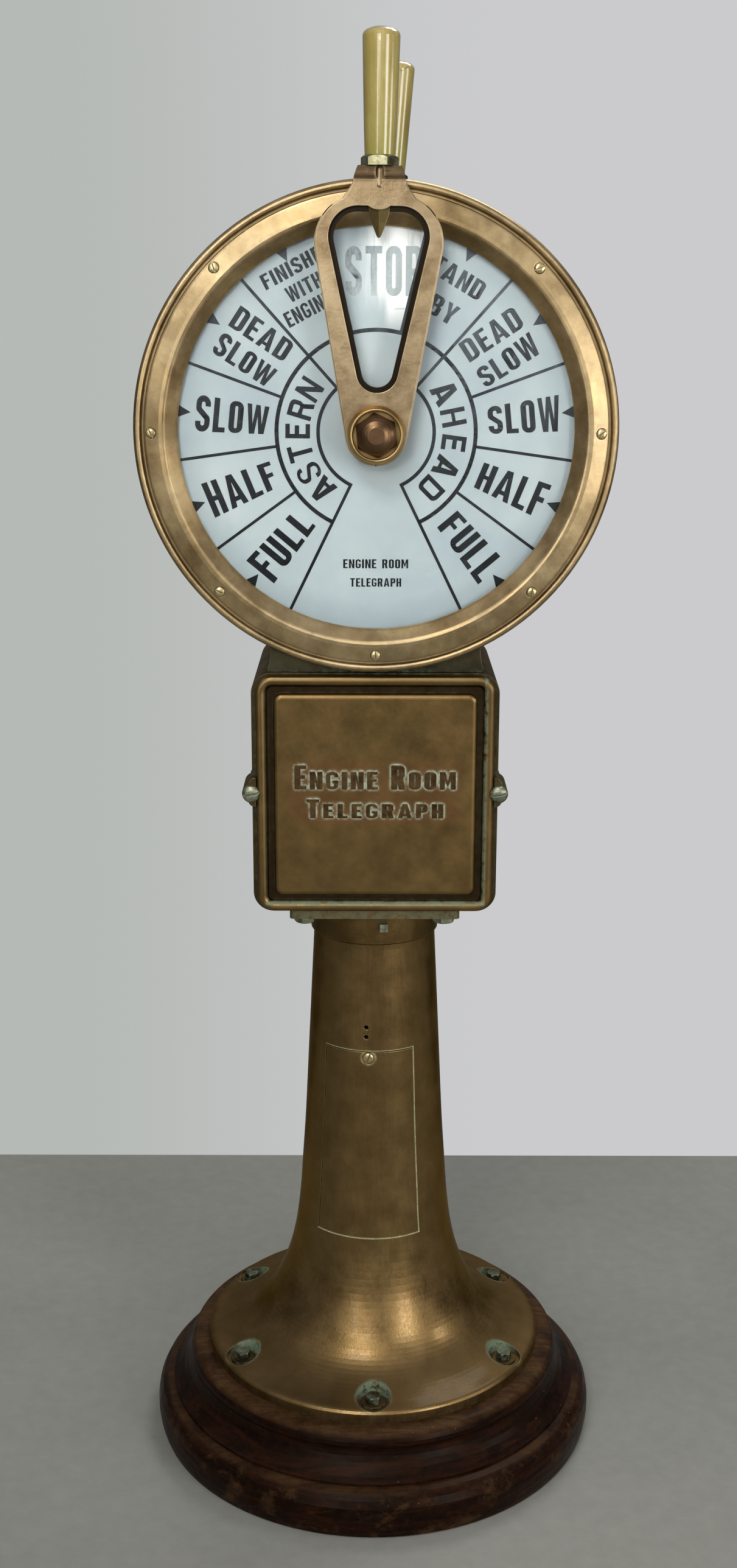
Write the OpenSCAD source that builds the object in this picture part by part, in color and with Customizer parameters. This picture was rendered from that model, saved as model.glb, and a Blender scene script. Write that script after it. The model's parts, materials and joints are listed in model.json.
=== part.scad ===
// Ship engine telegraph: double-faced bridge order transmitter on a pedestal.
// Millimetres. Origin at the centre of the plinth's underside, +Z up, front dial facing -Y.

/* [Stand] */
// Height of the lever shaft above the floor
hub_z = 920; // [880:1:960]
// Height of the turned wooden plinth
plinth_h = 80; // [70:1:80]
// Largest radius of the plinth
plinth_r = 203; // [190:1:215]
// Radius of the pedestal's foot flange
flange_r = 153.5; // [150:0.5:158]
// Wall thickness of the pedestal casting
column_wall = 5; // [4:0.5:6]

/* [Gear case] */
// Width of the square case below the head
case_w = 204; // [200:1:208]
// Height of the case
case_h = 205; // [200:1:205]
// Wall of the case
case_wall = 5; // [4:0.5:6]

/* [Head] */
// Outer radius of the bezel rings
bezel_r = 190; // [186:1:192]
// Radius of the dial that shows inside a bezel
dial_r = 155.3; // [150:0.1:157]
// Outer radius of the drum between the bezels
drum_r = 178; // [176:1:179]
// Angle between one order and the next
order_step = 28; // [26:1:28]

/* [Levers] */
// Radius of each lever shaft
shaft_r = 9; // [8:0.5:10]
// Running clearance of a shaft in its bush
run_clear = 0.05; // [0.02:0.01:0.09]
// Angle by which the front handle stands off the upright
front_lever_angle = 0.6; // [0:0.1:2]
// Angle by which the rear handle stands off the upright
rear_lever_angle = 3.6; // [0:0.1:6]
// Radius of the grip at its tip
grip_tip_r = 14; // [12:0.5:15]

/* [Hidden] */
$fn = 96;

bronze = [0.56, 0.42, 0.24];
dark_bronze = [0.33, 0.25, 0.14];
pale_brass = [0.72, 0.62, 0.40];
wood_c = [0.20, 0.09, 0.06];
opal_c = [0.80, 0.87, 0.90];
ivory_c = [0.74, 0.70, 0.42];

case_z0 = 521;
case_z1 = case_z0 + case_h;
case_zc = (case_z0 + case_z1) / 2;
case_back = -78;
case_front = 74;
flange_top = plinth_h + 8.2;
bolt_pc = 137;
door_az = -5;
door_half = 41.5;
door_z0 = 210;
door_z1 = 386;
seam = 1.2;

// ---------- frames ----------
// Local X to the right, local Y up, local Z out of the front dial.
module face() { translate([0, 0, hub_z]) rotate([90, 0, 0]) children(); }
module rear_face() { rotate([0, 0, 180]) face() children(); }
// The levers as they stand: turned about the shafts.
module front_lever_place() {
  translate([0, 0, hub_z]) rotate([0, front_lever_angle, 0]) translate([0, 0, -hub_z]) face() children();
}
module rear_lever_place() {
  translate([0, 0, hub_z]) rotate([0, rear_lever_angle, 0]) translate([0, 0, -hub_z]) rear_face() children();
}
module rounded_rect(w, h, r, fn = 48) {
  hull() for (sx = [-1, 1], sy = [-1, 1]) translate([sx * (w / 2 - r), sy * (h / 2 - r)]) circle(r, $fn = fn);
}
// The same outline built so that its corners stay true arcs.
module round_plate(w, h, r) {
  square([w - 2 * r, h], center = true);
  square([w, h - 2 * r], center = true);
  for (sx = [-1, 1], sy = [-1, 1]) translate([sx * (w / 2 - r), sy * (h / 2 - r)]) circle(r);
}
// A section run round a rectangle with rounded corners; its x is measured out from the corner centres.
module swept_frame(w, h, r) {
  for (k = [0 : 3]) {
    a = (k % 2 == 0 ? w : h) / 2 - r;
    b = (k % 2 == 0 ? h : w) / 2 - r;
    rotate([0, 0, 90 * k]) {
      translate([a, b, 0]) rotate_extrude(angle = 90) children();
      translate([-a, b, 0]) rotate([90, 0, 90]) linear_extrude(2 * a) children();
    }
  }
}
module slotted_head(r, h, slot, shank_r, shank_l) {
  difference() {
    union() {
      rotate_extrude() polygon([[0, 0], [r, 0], [r, h * 0.35], [r * 0.93, h * 0.62], [r * 0.75, h * 0.84], [r * 0.45, h * 0.96], [0, h]]);
      translate([0, 0, -shank_l]) cylinder(r = shank_r, h = shank_l);
    }
    translate([-r - 1, -slot / 2, h * 0.45]) cube([2 * r + 2, slot, h]);
  }
}
module hex_head(af, h) {
  intersection() {
    cylinder(r = af / sqrt(3), h = h, $fn = 6);
    rotate_extrude() polygon([[0, 0], [af / sqrt(3), 0], [af / sqrt(3), h - 1.4], [af / 2, h], [0, h]]);
  }
}

// ---------- pedestal profile ----------
// Catmull-Rom through the profile points keeps the trumpet smooth.
col_pts = [[flange_r, flange_top], [150.6, 91.0], [140, 93.6], [125, 99.2], [110, 108.5], [98, 121.5], [88.5, 138.5], [79.5, 160],
  [72.6, 187], [68.0, 220], [65.0, 260], [62.0, 305], [58.8, 370], [55.9, 430], [53.6, 478]];
function cr(p0, p1, p2, p3, t) = 0.5 * ((2 * p1) + (p2 - p0) * t + (2 * p0 - 5 * p1 + 4 * p2 - p3) * t * t + (3 * p1 - p0 - 3 * p2 + p3) * t * t * t);
function smooth(p, n) = [for (i = [0 : len(p) - 2]) for (k = [0 : n - 1])
  cr(p[max(i - 1, 0)], p[i], p[i + 1], p[min(i + 2, len(p) - 1)], k / n), p[len(p) - 1]];
col_out = smooth(col_pts, 4);
col_in_pts = [[118, plinth_h], [104, 94], [92, 112], [82, 134], [73.5, 160], [67.2, 187], [62.8, 220], [59.9, 260], [56.9, 305],
  [53.8, 370], [50.9, 430], [48.6, 478], [46, 490]];
col_in = smooth(col_in_pts, 3);

module column_solid() {
  rotate_extrude() polygon(concat([[118, plinth_h], [flange_r, plinth_h]], col_out, [[53.6, 483], [51, 483], [51, 512], [46, 512]],
    [for (i = [len(col_in) - 1 : -1 : 1]) col_in[i]]));
}
module door_wedge(half, z0, z1) {
  rotate([0, 0, door_az - 90 - half]) rotate_extrude(angle = 2 * half) translate([30, z0]) square([80, z1 - z0]);
}
module plinth_bolt_places() { for (k = [0 : 5]) rotate([0, 0, 60 * k]) translate([0, -bolt_pc, 0]) children(); }

module plinth() {
  color(wood_c) difference() {
    rotate_extrude() polygon([[20, 0], [198, 0], [200.5, 1.5], [plinth_r - 1, 7], [plinth_r, 14], [plinth_r, 22], [plinth_r - 1.2, 29], [plinth_r - 4.2, 35],
      [plinth_r - 9, 39.2], [plinth_r - 14.5, 41], [plinth_r - 15.2, 41.2], [plinth_r - 15.2, 44], [183, 47.5], [178.4, 51.5], [174.8, 56], [172.4, 60.5], [171.2, 64], [171.0, 66.2],
      [171.6, 69], [171.2, 72.6], [169.4, 76.2], [166.4, 78.8], [163, plinth_h - 0.1], [160, plinth_h], [20, plinth_h]]);
    plinth_bolt_places() translate([0, 0, 38]) cylinder(r = 4.6, h = 60);
  }
}
module plinth_bolts() {
  color(pale_brass) plinth_bolt_places() union() {
    translate([0, 0, 90.9]) rotate([0, 0, 12]) hex_head(12, 6.2);
    translate([0, 0, 42]) cylinder(r = 4.5, h = 49.4);
  }
}
module plinth_washers() {
  color(bronze) plinth_bolt_places() translate([0, 0, 89]) difference() { cylinder(r = 10.5, h = 1.9); translate([0, 0, -1]) cylinder(r = 5, h = 4); }
}
module column() {
  color(bronze) difference() {
    union() {
      column_solid();
      // Lug behind the door's top edge that its screw runs into.
      intersection() {
        rotate([0, 0, door_az]) translate([-11, -52, 368]) cube([22, 7, 26]);
        cylinder(r = 51.8, h = 500);
      }
      rotate([0, 0, door_az]) translate([-11, -55.3, 388.5]) cube([22, 8, 5.5]);
    }
    // Door opening
    door_wedge(door_half, door_z0, door_z1);
    rotate([0, 0, door_az]) translate([0, -30, 379.5]) rotate([90, 0, 0]) cylinder(r = 3.5, h = 40);
    plinth_bolt_places() translate([0, 0, 89]) cylinder(r = 15, h = 40);
    plinth_bolt_places() translate([0, 0, 70]) cylinder(r = 5, h = 40);
    // Two small plate holes above the door
    for (z = [398.6, 407.5]) rotate([0, 0, door_az - 2]) translate([0, 0, z]) rotate([90, 0, 0]) cylinder(r = 2, h = 100);
  }
}
module column_door() {
  color(bronze) difference() {
    union() {
      intersection() {
        column_solid();
        door_wedge(door_half - 0.75, door_z0 + 0.8, door_z1 - seam);
      }
      // Tongue that hooks behind the lower edge
      rotate([0, 0, door_az]) translate([-14, -61.6, door_z0 - 8]) cube([28, 3, 38]);
    }
    rotate([0, 0, door_az]) translate([0, 0, 379.5]) rotate([90, 0, 0]) cylinder(r = 2.6, h = 100);
    rotate([0, 0, door_az]) translate([0, -57.9, 379.5]) rotate([90, 0, 0]) cylinder(r = 5.3, h = 20);
  }
}
module door_screw() {
  color(pale_brass) rotate([0, 0, door_az]) translate([0, -57.9, 379.5]) rotate([90, 0, 0]) rotate([0, 0, 70])
    slotted_head(5, 2.6, 1.2, 2.5, 10.6);
}

// ---------- collar ----------
module column_collar() {
  color(bronze) difference() {
    union() {
      translate([0, 0, 483]) rotate_extrude() polygon([[51.1, 0], [54.8, 0], [56, 1.2], [56, 30], [51.1, 30]]);
      translate([0, 0, 513]) linear_extrude(case_z0 - 513) difference() { round_plate(144, 144, 4); circle(r = 46); }
    }
    for (a = [7.5, 127.5, 247.5]) rotate([0, 0, a - 90]) translate([0, 0, 500.5]) rotate([0, 90, 0]) cylinder(r = 3.1, h = 90);
    for (sx = [-1, 1], sy = [-1, 1]) translate([sx * 59, sy * 59, 500]) cylinder(r = 4.3, h = 40);
  }
}
module collar_bolts() {
  color(pale_brass) for (sx = [-1, 1], sy = [-1, 1]) translate([sx * 59, sy * 59, 0]) {
    translate([0, 0, 513]) rotate([180, 0, 17]) hex_head(17, 6);
    translate([0, 0, 512.9]) cylinder(r = 4.2, h = 17);
    translate([0, 0, case_z0 + case_wall]) difference() { rotate([0, 0, 11]) cylinder(r = 8, h = 6, $fn = 6); translate([0, 0, -1]) cylinder(r = 4.25, h = 10); }
  }
}
module collar_set_screws() {
  color(pale_brass) for (a = [7.5, 127.5, 247.5]) rotate([0, 0, a - 90]) translate([56.2, 0, 500.5]) {
    rotate([0, 90, 0]) rotate([0, 0, 45]) cylinder(r1 = 4.9, r2 = 4.7, h = 5.5, $fn = 4);
    rotate([0, -90, 0]) cylinder(r = 3, h = 5);
  }
}

// ---------- case ----------
module case_frame() { translate([0, 0, case_zc]) rotate([90, 0, 0]) children(); }
ear_u = 626.6 - case_zc;
module case_body() {
  color(dark_bronze) difference() {
    union() {
      case_frame() translate([0, 0, case_back]) linear_extrude(case_front - case_back) round_plate(case_w, case_h, 17);
      // Ears that take the cover screws
      case_frame() for (s = [-1, 1]) translate([s * 101.6, ear_u, 46]) {
        linear_extrude(38.4) intersection() {
          union() { circle(r = 8.2); translate([s * -3, 7]) circle(r = 6.4); translate([s * -3, -5.5]) circle(r = 6.2); }
          translate([s > 0 ? -3.2 : -16.8, -30]) square([20, 60]);
        }
      }
    }
    case_frame() translate([0, 0, case_back + case_wall]) linear_extrude(case_front - case_back - case_wall - 6) round_plate(case_w - 2 * case_wall, case_h - 2 * case_wall, 12);
    case_frame() translate([0, 0, case_front - 10]) linear_extrude(20) round_plate(case_w - 34, case_h - 34, 6);
    case_frame() for (s = [-1, 1]) translate([s * 102.2, ear_u, 56]) cylinder(r = 3.05, h = 40);
    // Ways for the wiring, up into the head and down into the pedestal
    translate([-60, -34, case_z1 - 20]) cube([120, 68, 40]);
    translate([0, 0, case_z0 - 10]) cylinder(r = 46, h = 30);
    for (sx = [-1, 1], sy = [-1, 1]) translate([sx * 59, sy * 59, case_z0 - 1]) cylinder(r = 4.4, h = 20);
    for (sx = [-1, 1], sy = [-1, 1]) translate([sx * 72, sy * 42, case_z1 - 20]) cylinder(r = 3.2, h = 30);
  }
}
cover_w = 196;
cover_h = 201.5;
cover_c = 624.3 - case_zc;
module cover_gasket() {
  color([0.10, 0.09, 0.08]) case_frame() translate([0, cover_c, case_front]) linear_extrude(0.8) difference() {
    round_plate(cover_w - 2, cover_h - 2, 13);
    round_plate(case_w - 32, case_h - 32, 7);
  }
}
module case_cover() {
  color(bronze) case_frame() translate([0, cover_c, case_front + 0.8]) union() {
    linear_extrude(4.2) round_plate(cover_w - 1.6, cover_h - 1.6, 13.2);
    // Rolled rim
    swept_frame(cover_w, cover_h, 14) polygon([[4.4, 2], [4.4, 0], [14, 0], [14, 6.2], [13.7, 7.5], [12.9, 8.6], [11.7, 9.35], [10.2, 9.6], [8.6, 9.4], [7.2, 8.7], [6.1, 7.5], [5.2, 5.9], [4.4, 3.9]]);
    // Raised centre panel with an eased edge
    swept_frame(cover_w - 29.2, cover_h - 29.2, 7) polygon([[1, 3], [7, 3], [7, 6.6], [6.75, 7.7], [6.15, 8.7], [5.25, 9.4], [4.1, 9.85], [2.9, 10], [1, 10]]);
    linear_extrude(10) square([cover_w - 39.2, cover_h - 39.2], center = true);
  }
}
module cover_screws() {
  color(pale_brass) case_frame() for (s = [-1, 1]) translate([s * 102.2, ear_u, 84.4]) rotate([0, 0, 12])
    slotted_head(7, 4.4, 1.6, 3, 24);
}

// ---------- drum ----------
module lamp_places() { for (s = [-1, 1]) rotate([0, 0, s * 45]) rotate([-90, 0, 0]) children(); }
saddle = [[-88.5, case_z1 - hub_z], [88.5, case_z1 - hub_z], [88.5, -191], [87.4, -188], [86.6, -184], [86, -178], [85.6, -168], [85, -158], [84, -150],
  [-84, -150], [-85, -158], [-85.6, -168], [-86, -178], [-86.6, -184], [-87.4, -188], [-88.5, -191]];
module drum_casing() {
  color(dark_bronze) face() difference() {
    union() {
      difference() {
        union() {
          rotate_extrude() polygon([[150, -76], [186, -76], [186, -70.5], [184.6, -69], [181, -67.6], [179, -65], [drum_r, -61.5],
            [drum_r, -7], [drum_r + 2, -5], [drum_r + 2.6, -3], [drum_r + 2.6, 3], [drum_r + 2, 5], [drum_r, 7],
            [drum_r, 61.5], [179, 65], [181, 67.6], [184.6, 69], [186, 70.5], [186, 76], [150, 76]]);
          translate([0, 0, -70]) linear_extrude(140) polygon(saddle);
        }
        translate([0, 0, -70]) cylinder(r = drum_r - 5, h = 140);
      }
      // Ledge for the bearing plate
      translate([0, 0, -11]) difference() { cylinder(r = drum_r - 4, h = 7); translate([0, 0, -1]) cylinder(r = 160, h = 12); }
    }
    translate([0, 0, -80]) cylinder(r = 150, h = 160);
    // Way for the wiring through the saddle
    translate([-62, -210, -62]) cube([124, 60, 124]);
    for (sx = [-1, 1], sy = [-1, 1]) translate([sx * 72, -196, sy * 42]) rotate([-90, 0, 0]) cylinder(r = 3.05, h = 14);
    lamp_places() translate([0, 0, 148]) cylinder(r = 12.2, h = 24.9);
    for (k = [0 : 7], s = [-1, 1]) rotate([0, 0, 45 * k]) translate([0, 175.6, s * 76.5 - 10]) cylinder(r = 2.1, h = 20);
    for (k = [0 : 3]) rotate([0, 0, 90 * k + 22.5]) translate([0, 166.5, -20]) cylinder(r = 2.1, h = 30);
  }
}
module drum_foot_screws() {
  color(pale_brass) for (sx = [-1, 1], sy = [-1, 1]) translate([sx * 72, sy * 42, case_z1 - case_wall]) {
    rotate([180, 0, 30]) slotted_head(6, 3.6, 1.4, 3, 16.5);
  }
}
module bearing_plate() {
  color(dark_bronze) face() difference() {
    union() {
      translate([0, 0, -4]) cylinder(r = drum_r - 5.2, h = 8);
      translate([0, 0, -36]) cylinder(r = 20, h = 72);
      translate([-56, -46, 4]) cube([12, 8, 42]);
      rotate([0, 180, 0]) translate([-56, -46, 4]) cube([12, 8, 42]);
    }
    translate([0, 0, -40]) cylinder(r = 14, h = 80);
    for (k = [0 : 3]) rotate([0, 0, 45 + 90 * k]) translate([0, 122, -10]) cylinder(r = 40, h = 20);
    lamp_places() translate([0, 0, 148]) cylinder(r = 12.2, h = 40);
    for (k = [0 : 3]) rotate([0, 0, 90 * k + 22.5]) translate([0, 166.5, -20]) cylinder(r = 2.4, h = 30);
    for (k = [0 : 3]) rotate([0, 0, 90 * k]) translate([0, 58, -10]) cylinder(r = 2.55, h = 20);
    for (s = [0, 180]) rotate([0, s, 0]) translate([-50, -60, 43]) rotate([-90, 0, 0]) cylinder(r = 1.6, h = 30);
  }
}
module bearing_plate_screws() {
  color(pale_brass) face() for (k = [0 : 3]) rotate([0, 0, 90 * k + 22.5]) translate([0, 166.5, 4]) slotted_head(4.5, 2.6, 1.1, 2.05, 14);
}
module shaft_bushes() {
  color(pale_brass) for (a = [0, 180]) rotate([0, 0, a]) face() translate([0, 0, 2]) difference() {
    union() { cylinder(r = 13.98, h = 36); translate([0, 0, 34]) cylinder(r = 16.5, h = 2); }
    translate([0, 0, -1]) cylinder(r = shaft_r + run_clear, h = 40);
  }
}
module contact_pillars() {
  color(pale_brass) for (a = [0, 180]) rotate([0, 0, a]) face() for (k = [0 : 3]) rotate([0, 0, 90 * k]) translate([0, 58, 0]) {
    translate([0, 0, 4]) cylinder(r = 4, h = 61);
    translate([0, 0, 0.3]) cylinder(r = 2.5, h = 5);
    translate([0, 0, 64]) cylinder(r = 2, h = 8.4);
    translate([0, 0, 70]) cylinder(r = 3.6, h = 2.4, $fn = 6);
  }
}
module contact_plates() {
  color([0.17, 0.10, 0.07]) for (a = [0, 180]) rotate([0, 0, a]) face() translate([0, 0, 65]) difference() {
    cylinder(r = 64, h = 5);
    translate([0, 0, -1]) cylinder(r = 22, h = 8);
    for (k = [0 : 3]) rotate([0, 0, 90 * k]) translate([0, 58, -1]) cylinder(r = 2.05, h = 8);
    for (k = [-5 : 5]) rotate([0, 0, order_step * k]) translate([0, 46, -1]) cylinder(r = 2.05, h = 8);
  }
}
module contact_studs() {
  color(pale_brass) for (a = [0, 180]) rotate([0, 0, a]) face() for (k = [-5 : 5]) rotate([0, 0, order_step * k]) translate([0, 46, 0]) {
    translate([0, 0, 62.4]) cylinder(r = 4.2, h = 2.6);
    translate([0, 0, 64]) cylinder(r = 2, h = 9);
    translate([0, 0, 70]) cylinder(r = 3.4, h = 2, $fn = 6);
  }
}
module detent_spring() {
  color([0.55, 0.56, 0.58]) difference() {
    translate([0, 0, 40]) linear_extrude(6)
    polygon([[-56, -38], [-6.2, -38], [-1.6, -32.4], [1.6, -32.4], [6.2, -38], [12, -38], [12, -36.8], [6.9, -36.8], [2.2, -31.1], [-2.2, -31.1], [-6.9, -36.8], [-56, -36.8]]);
    translate([-50, -50, 43]) rotate([-90, 0, 0]) cylinder(r = 1.65, h = 30);
  }
}
module detent_spring_screws() {
  color(pale_brass) for (a = [0, 180]) rotate([0, 0, a]) face() translate([-50, -36.8, 43]) rotate([-90, 0, 0]) slotted_head(3, 1.8, 0.8, 1.5, 7.5);
}
module lamp_holders() {
  color(pale_brass) face() lamp_places() intersection() {
    union() {
      translate([0, 0, 150]) difference() { cylinder(r = 12, h = 30); translate([0, 0, -1]) cylinder(r = 9.8, h = 12); }
    }
    rotate([90, 0, 0]) cylinder(r = drum_r - 5.02, h = 60, center = true);
  }
}
module lamp_bulbs() {
  color([0.9, 0.9, 0.85]) face() lamp_places() rotate_extrude() polygon([for (t = [0 : 7.5 : 142.5]) [15 * sin(t), 130 - 15 * cos(t)], [9.1, 146], [9.4, 150], [9.4, 160.5], [0, 160.5]]);
}

// ---------- dials ----------
module bezel() {
  color(bronze) difference() {
    rotate_extrude($fn = 180) polygon([[162, 76], [190, 76], [bezel_r, 87.4], [bezel_r - 0.3, 89.2], [bezel_r - 1.1, 90.7], [bezel_r - 2.4, 91.8], [bezel_r - 3.9, 92.0],
      [bezel_r - 5.2, 91.5], [bezel_r - 6.0, 90.5], [bezel_r - 6.4, 89.2], [bezel_r - 7.0, 88.8], [bezel_r - 8.4, 88.8], [bezel_r - 8.7, 91.4], [bezel_r - 9.2, 92.4],
      [bezel_r - 10.4, 92.8], [174, 93.9], [169.5, 94.8], [166.8, 95.0], [165.2, 94.6], [164.0, 93.8], [156.7, 86.9], [dial_r + 0.2, 85.6], [dial_r, 84.9], [dial_r, 84.4], [162, 84.4]]);
    for (k = [0 : 7]) rotate([0, 0, 45 * k]) translate([0, 175.6, 70]) cylinder(r = 2.2, h = 30);
    for (k = [0 : 7]) rotate([0, 0, 45 * k]) translate([0, 175.6, 92.9]) cylinder(r = 4.35, h = 10);
  }
}
module bezel_screws() {
  color(pale_brass) for (k = [0 : 7]) rotate([0, 0, 45 * k]) translate([0, 175.6, 92.9]) rotate([0, 0, [90, 62, 25, 18, 95, 35, 130, 66][k]])
    slotted_head(4.1, 2.3, 1.0, 2.05, 26);
}
module glass() { color([0.85, 0.92, 0.95, 0.3]) translate([0, 0, 80.2]) difference() { cylinder(r = 161.5, h = 4.1); translate([0, 0, -1]) cylinder(r = 12, h = 8); } }
module dial() { color(opal_c) translate([0, 0, 77]) difference() { cylinder(r = 161.5, h = 3); translate([0, 0, -1]) cylinder(r = 12, h = 8); } }
module gasket() { color([0.12, 0.11, 0.10]) translate([0, 0, 76]) difference() { cylinder(r = 161.5, h = 1); translate([0, 0, -1]) cylinder(r = 151, h = 4); } }

// ---------- lever ----------
// Outline round a row of discs, kept as true arcs and straight tangents.
function side_n(a, b) = let (v = [a[0] - b[0], a[1] - b[1]], d = norm(v), u = v / d, w = [u[1], -u[0]], c = (b[2] - a[2]) / d) c * u + sqrt(1 - c * c) * w;
module kite(top_x, top_y, top_r, low_y, low_r) {
  n = side_n([top_x, top_y, top_r], [0, low_y, low_r]);
  for (s = [-1, 1]) translate([s * top_x, top_y]) circle(r = top_r);
  translate([0, low_y]) circle(r = low_r);
  polygon([[top_x, top_y] + top_r * n, [0, low_y] + low_r * n, [-low_r * n[0], low_y + low_r * n[1]], [-top_x - top_r * n[0], top_y + top_r * n[1]],
    [-top_x, top_y + top_r], [top_x, top_y + top_r]]);
}
module lever_outline(grow) { kite(13.8, 142, 35 + grow, 0, 24 + grow); }
module window_outline(grow) { kite(16, 146.4, 22.2 + grow, 47.5, 16 + grow); }
module neck_outline(grow) {
  g = grow;
  polygon([[-31 - g, 168], [31 + g, 168], [28 + g, 173.6], [25.6 + g, 177], [23.1 + g, 180.2], [21.2 + g, 183.4], [19.7 + g, 187], [19.2 + g, 188.4 + g],
    [-19.2 - g, 188.4 + g], [-19.7 - g, 187], [-21.2 - g, 183.4], [-23.1 - g, 180.2], [-25.6 - g, 177], [-28 - g, 173.6]]);
}
module head_outline() {
  polygon([[-19.9, 184.4], [19.9, 184.4], [19.6, 188], [19.1, 190.4], [18.1, 193.6], [17.1, 196.2], [16.4, 197.6], [-16.4, 197.6], [-17.1, 196.2], [-18.1, 193.6], [-19.1, 190.4], [-19.6, 188]]);
}
module pointer_outline(grow) {
  polygon([[-8.4 - grow, 170], [8.4 + grow, 170], [7.7 + grow, 163], [4.6 + grow, 154], [1.6 + grow, 146.9], [1.0 + grow, 146.1], [0, 145.7 - grow], [-1.0 - grow, 146.1], [-1.6 - grow, 146.9], [-4.6 - grow, 154], [-7.7 - grow, 163]]);
}
// Rounded swelling over the pointer's root
module window_lobe(grow) { translate([0, 180]) circle(r = 14.2 + grow); }
module lever() {
  color(bronze) difference() {
    union() {
      translate([0, 0, 98.4]) linear_extrude(7.8) { lever_outline(0); neck_outline(0); }
      translate([0, 0, 106.2]) linear_extrude(0.8) { lever_outline(-0.8); neck_outline(-0.8); }
      // Hub boss
      translate([0, 0, 96.4]) cylinder(r = 22, h = 12);
      // Head block that carries the handle, over the bezel's edge
      difference() {
        translate([0, 0, 86.5]) linear_extrude(17.3) head_outline();
        translate([0, 0, 80]) cylinder(r = 191, h = 16);
      }
      // Sweep from the neck's face back to the block
      intersection() {
        translate([0, 0, 100]) linear_extrude(10) head_outline();
        translate([-25, 0, 0]) rotate([90, 0, 90]) linear_extrude(50) polygon([[185, 103], [185, 107], [186.6, 107], [187.8, 106.6], [189, 105.9], [190.4, 105.1], [192, 104.4], [194, 103.9], [195.5, 103.8], [195.5, 103]]);
      }
      // Rib from the block down the neck
      translate([0, 183.6, 103.4]) rotate([-90, 0, 0]) cylinder(r1 = 4.2, r2 = 2.9, h = 11);
      translate([0, 183.6, 103.4]) sphere(r = 4.2);
      translate([0, 194.6, 103.4]) sphere(r = 2.9);
    }
    translate([0, 0, 90]) linear_extrude(30) window_outline(-3.9);
    translate([0, 0, 101.8]) linear_extrude(30) difference() { window_outline(0); window_lobe(0); }
    translate([0, 0, 90]) linear_extrude(13) intersection() { pointer_outline(0.04); window_outline(0); }
    translate([0, 0, 90]) cylinder(r = shaft_r + 0.03, h = 30);
    translate([0, 190, 97]) rotate([-90, 0, 0]) cylinder(r = 4.05, h = 12);
  }
}
module pointer() {
  color(dark_bronze) difference() {
   intersection() {
    translate([0, 0, 98.4]) linear_extrude(8) intersection() { pointer_outline(0); window_outline(-0.02); }
    // Ridged front
    translate([0, 140, 90]) rotate([-90, 0, 0]) linear_extrude(40) polygon([[-9, 0], [9, 0], [9, -12.4], [0, -15.2], [-9, -12.4]]);
   }
   translate([0, 0, 102.95]) linear_extrude(6) window_lobe(0.06);
  }
}
module hub_collar() {
  color(bronze) rotate_extrude() polygon([[shaft_r + 0.05, 108.4], [22.3, 108.4], [22.1, 110.6], [21.4, 113.4], [20.8, 115.0], [20.5, 115.7], [20.0, 116.2], [19.4, 116.3], [18.7, 116.1], [18.3, 115.4], [18.3, 112.4], [shaft_r + 0.05, 112.4]]);
}
module cap_nut() {
  color(dark_bronze) difference() {
    intersection() {
      translate([0, 0, 112.4]) rotate([0, 0, 36]) cylinder(r = 30 / sqrt(3), h = 14, $fn = 6);
      rotate_extrude() polygon([[0, 112.4], [17.4, 112.4], [17.4, 113.6], [16.6, 115.4], [15.2, 117.6], [13.4, 119.7], [11.2, 121.5], [9.0, 122.6], [7.6, 123.1], [6.6, 123.5], [0, 123.5]]);
    }
    translate([0, 0, 110]) cylinder(r = 8.05, h = 9.4);
  }
}
// Hexagon collar with the stem that runs up the grip and screws into the lever.
module ferrule() {
  color(dark_bronze) translate([0, 197.6, 97]) rotate([-90, 0, 0]) union() {
    rotate([0, 0, 52]) hex_head(25, 7);
    translate([0, 0, -7]) cylinder(r = 4, h = 72);
  }
}
module grip() {
  color(ivory_c) translate([0, 204.6, 97]) rotate([-90, 0, 0]) difference() {
    rotate_extrude() polygon([[0, 0], [11.0, 0], [11.5, 0.7], [11.7, 4.8], [12.3, 20], [12.85, 40], [13.35, 58], [13.65, 70], [grip_tip_r - 0.1, 79], [grip_tip_r, 83.4],
      [grip_tip_r - 0.15, 84.8], [grip_tip_r - 0.7, 86.1], [grip_tip_r - 1.8, 87.3], [grip_tip_r - 3.5, 88.4], [grip_tip_r - 5.8, 89.3], [grip_tip_r - 8.5, 90], [grip_tip_r - 11.2, 90.3], [0, 90.4]]);
    translate([0, 0, -1]) cylinder(r = 4.05, h = 61);
  }
}
// Shaft with its threaded nose.
module lever_shaft() {
  color([0.55, 0.54, 0.52]) union() {
    translate([0, 0, 3]) cylinder(r = shaft_r, h = 109.4);
    translate([0, 0, 112.3]) cylinder(r = 8, h = 6.9);
  }
}
module star_wheel() {
  color(pale_brass) difference() {
    union() { translate([0, 0, 40]) cylinder(r = 34, h = 6); translate([0, 0, 38.4]) cylinder(r = 15, h = 10.6); }
    translate([0, 0, 30]) cylinder(r = shaft_r + 0.03, h = 30);
    for (k = [-5 : 5]) rotate([0, 0, order_step * k]) translate([0, 0, 39]) linear_extrude(8) polygon([[-6.2, -36], [-2.6, -30.7], [2.6, -30.7], [6.2, -36]]);
  }
}
module contact_arm() {
  color([0.72, 0.45, 0.28]) difference() {
    union() {
      translate([0, 0, 49.2]) cylinder(r = 14, h = 7);
      translate([-5, 8, 51]) cube([10, 40, 4]);
      translate([0, 46, 51]) cylinder(r = 5, h = 4);
      translate([0, 46, 54.9]) cylinder(r = 3.6, h = 7.1);
    }
    translate([0, 0, 40]) cylinder(r = shaft_r + 0.03, h = 30);
  }
}

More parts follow.
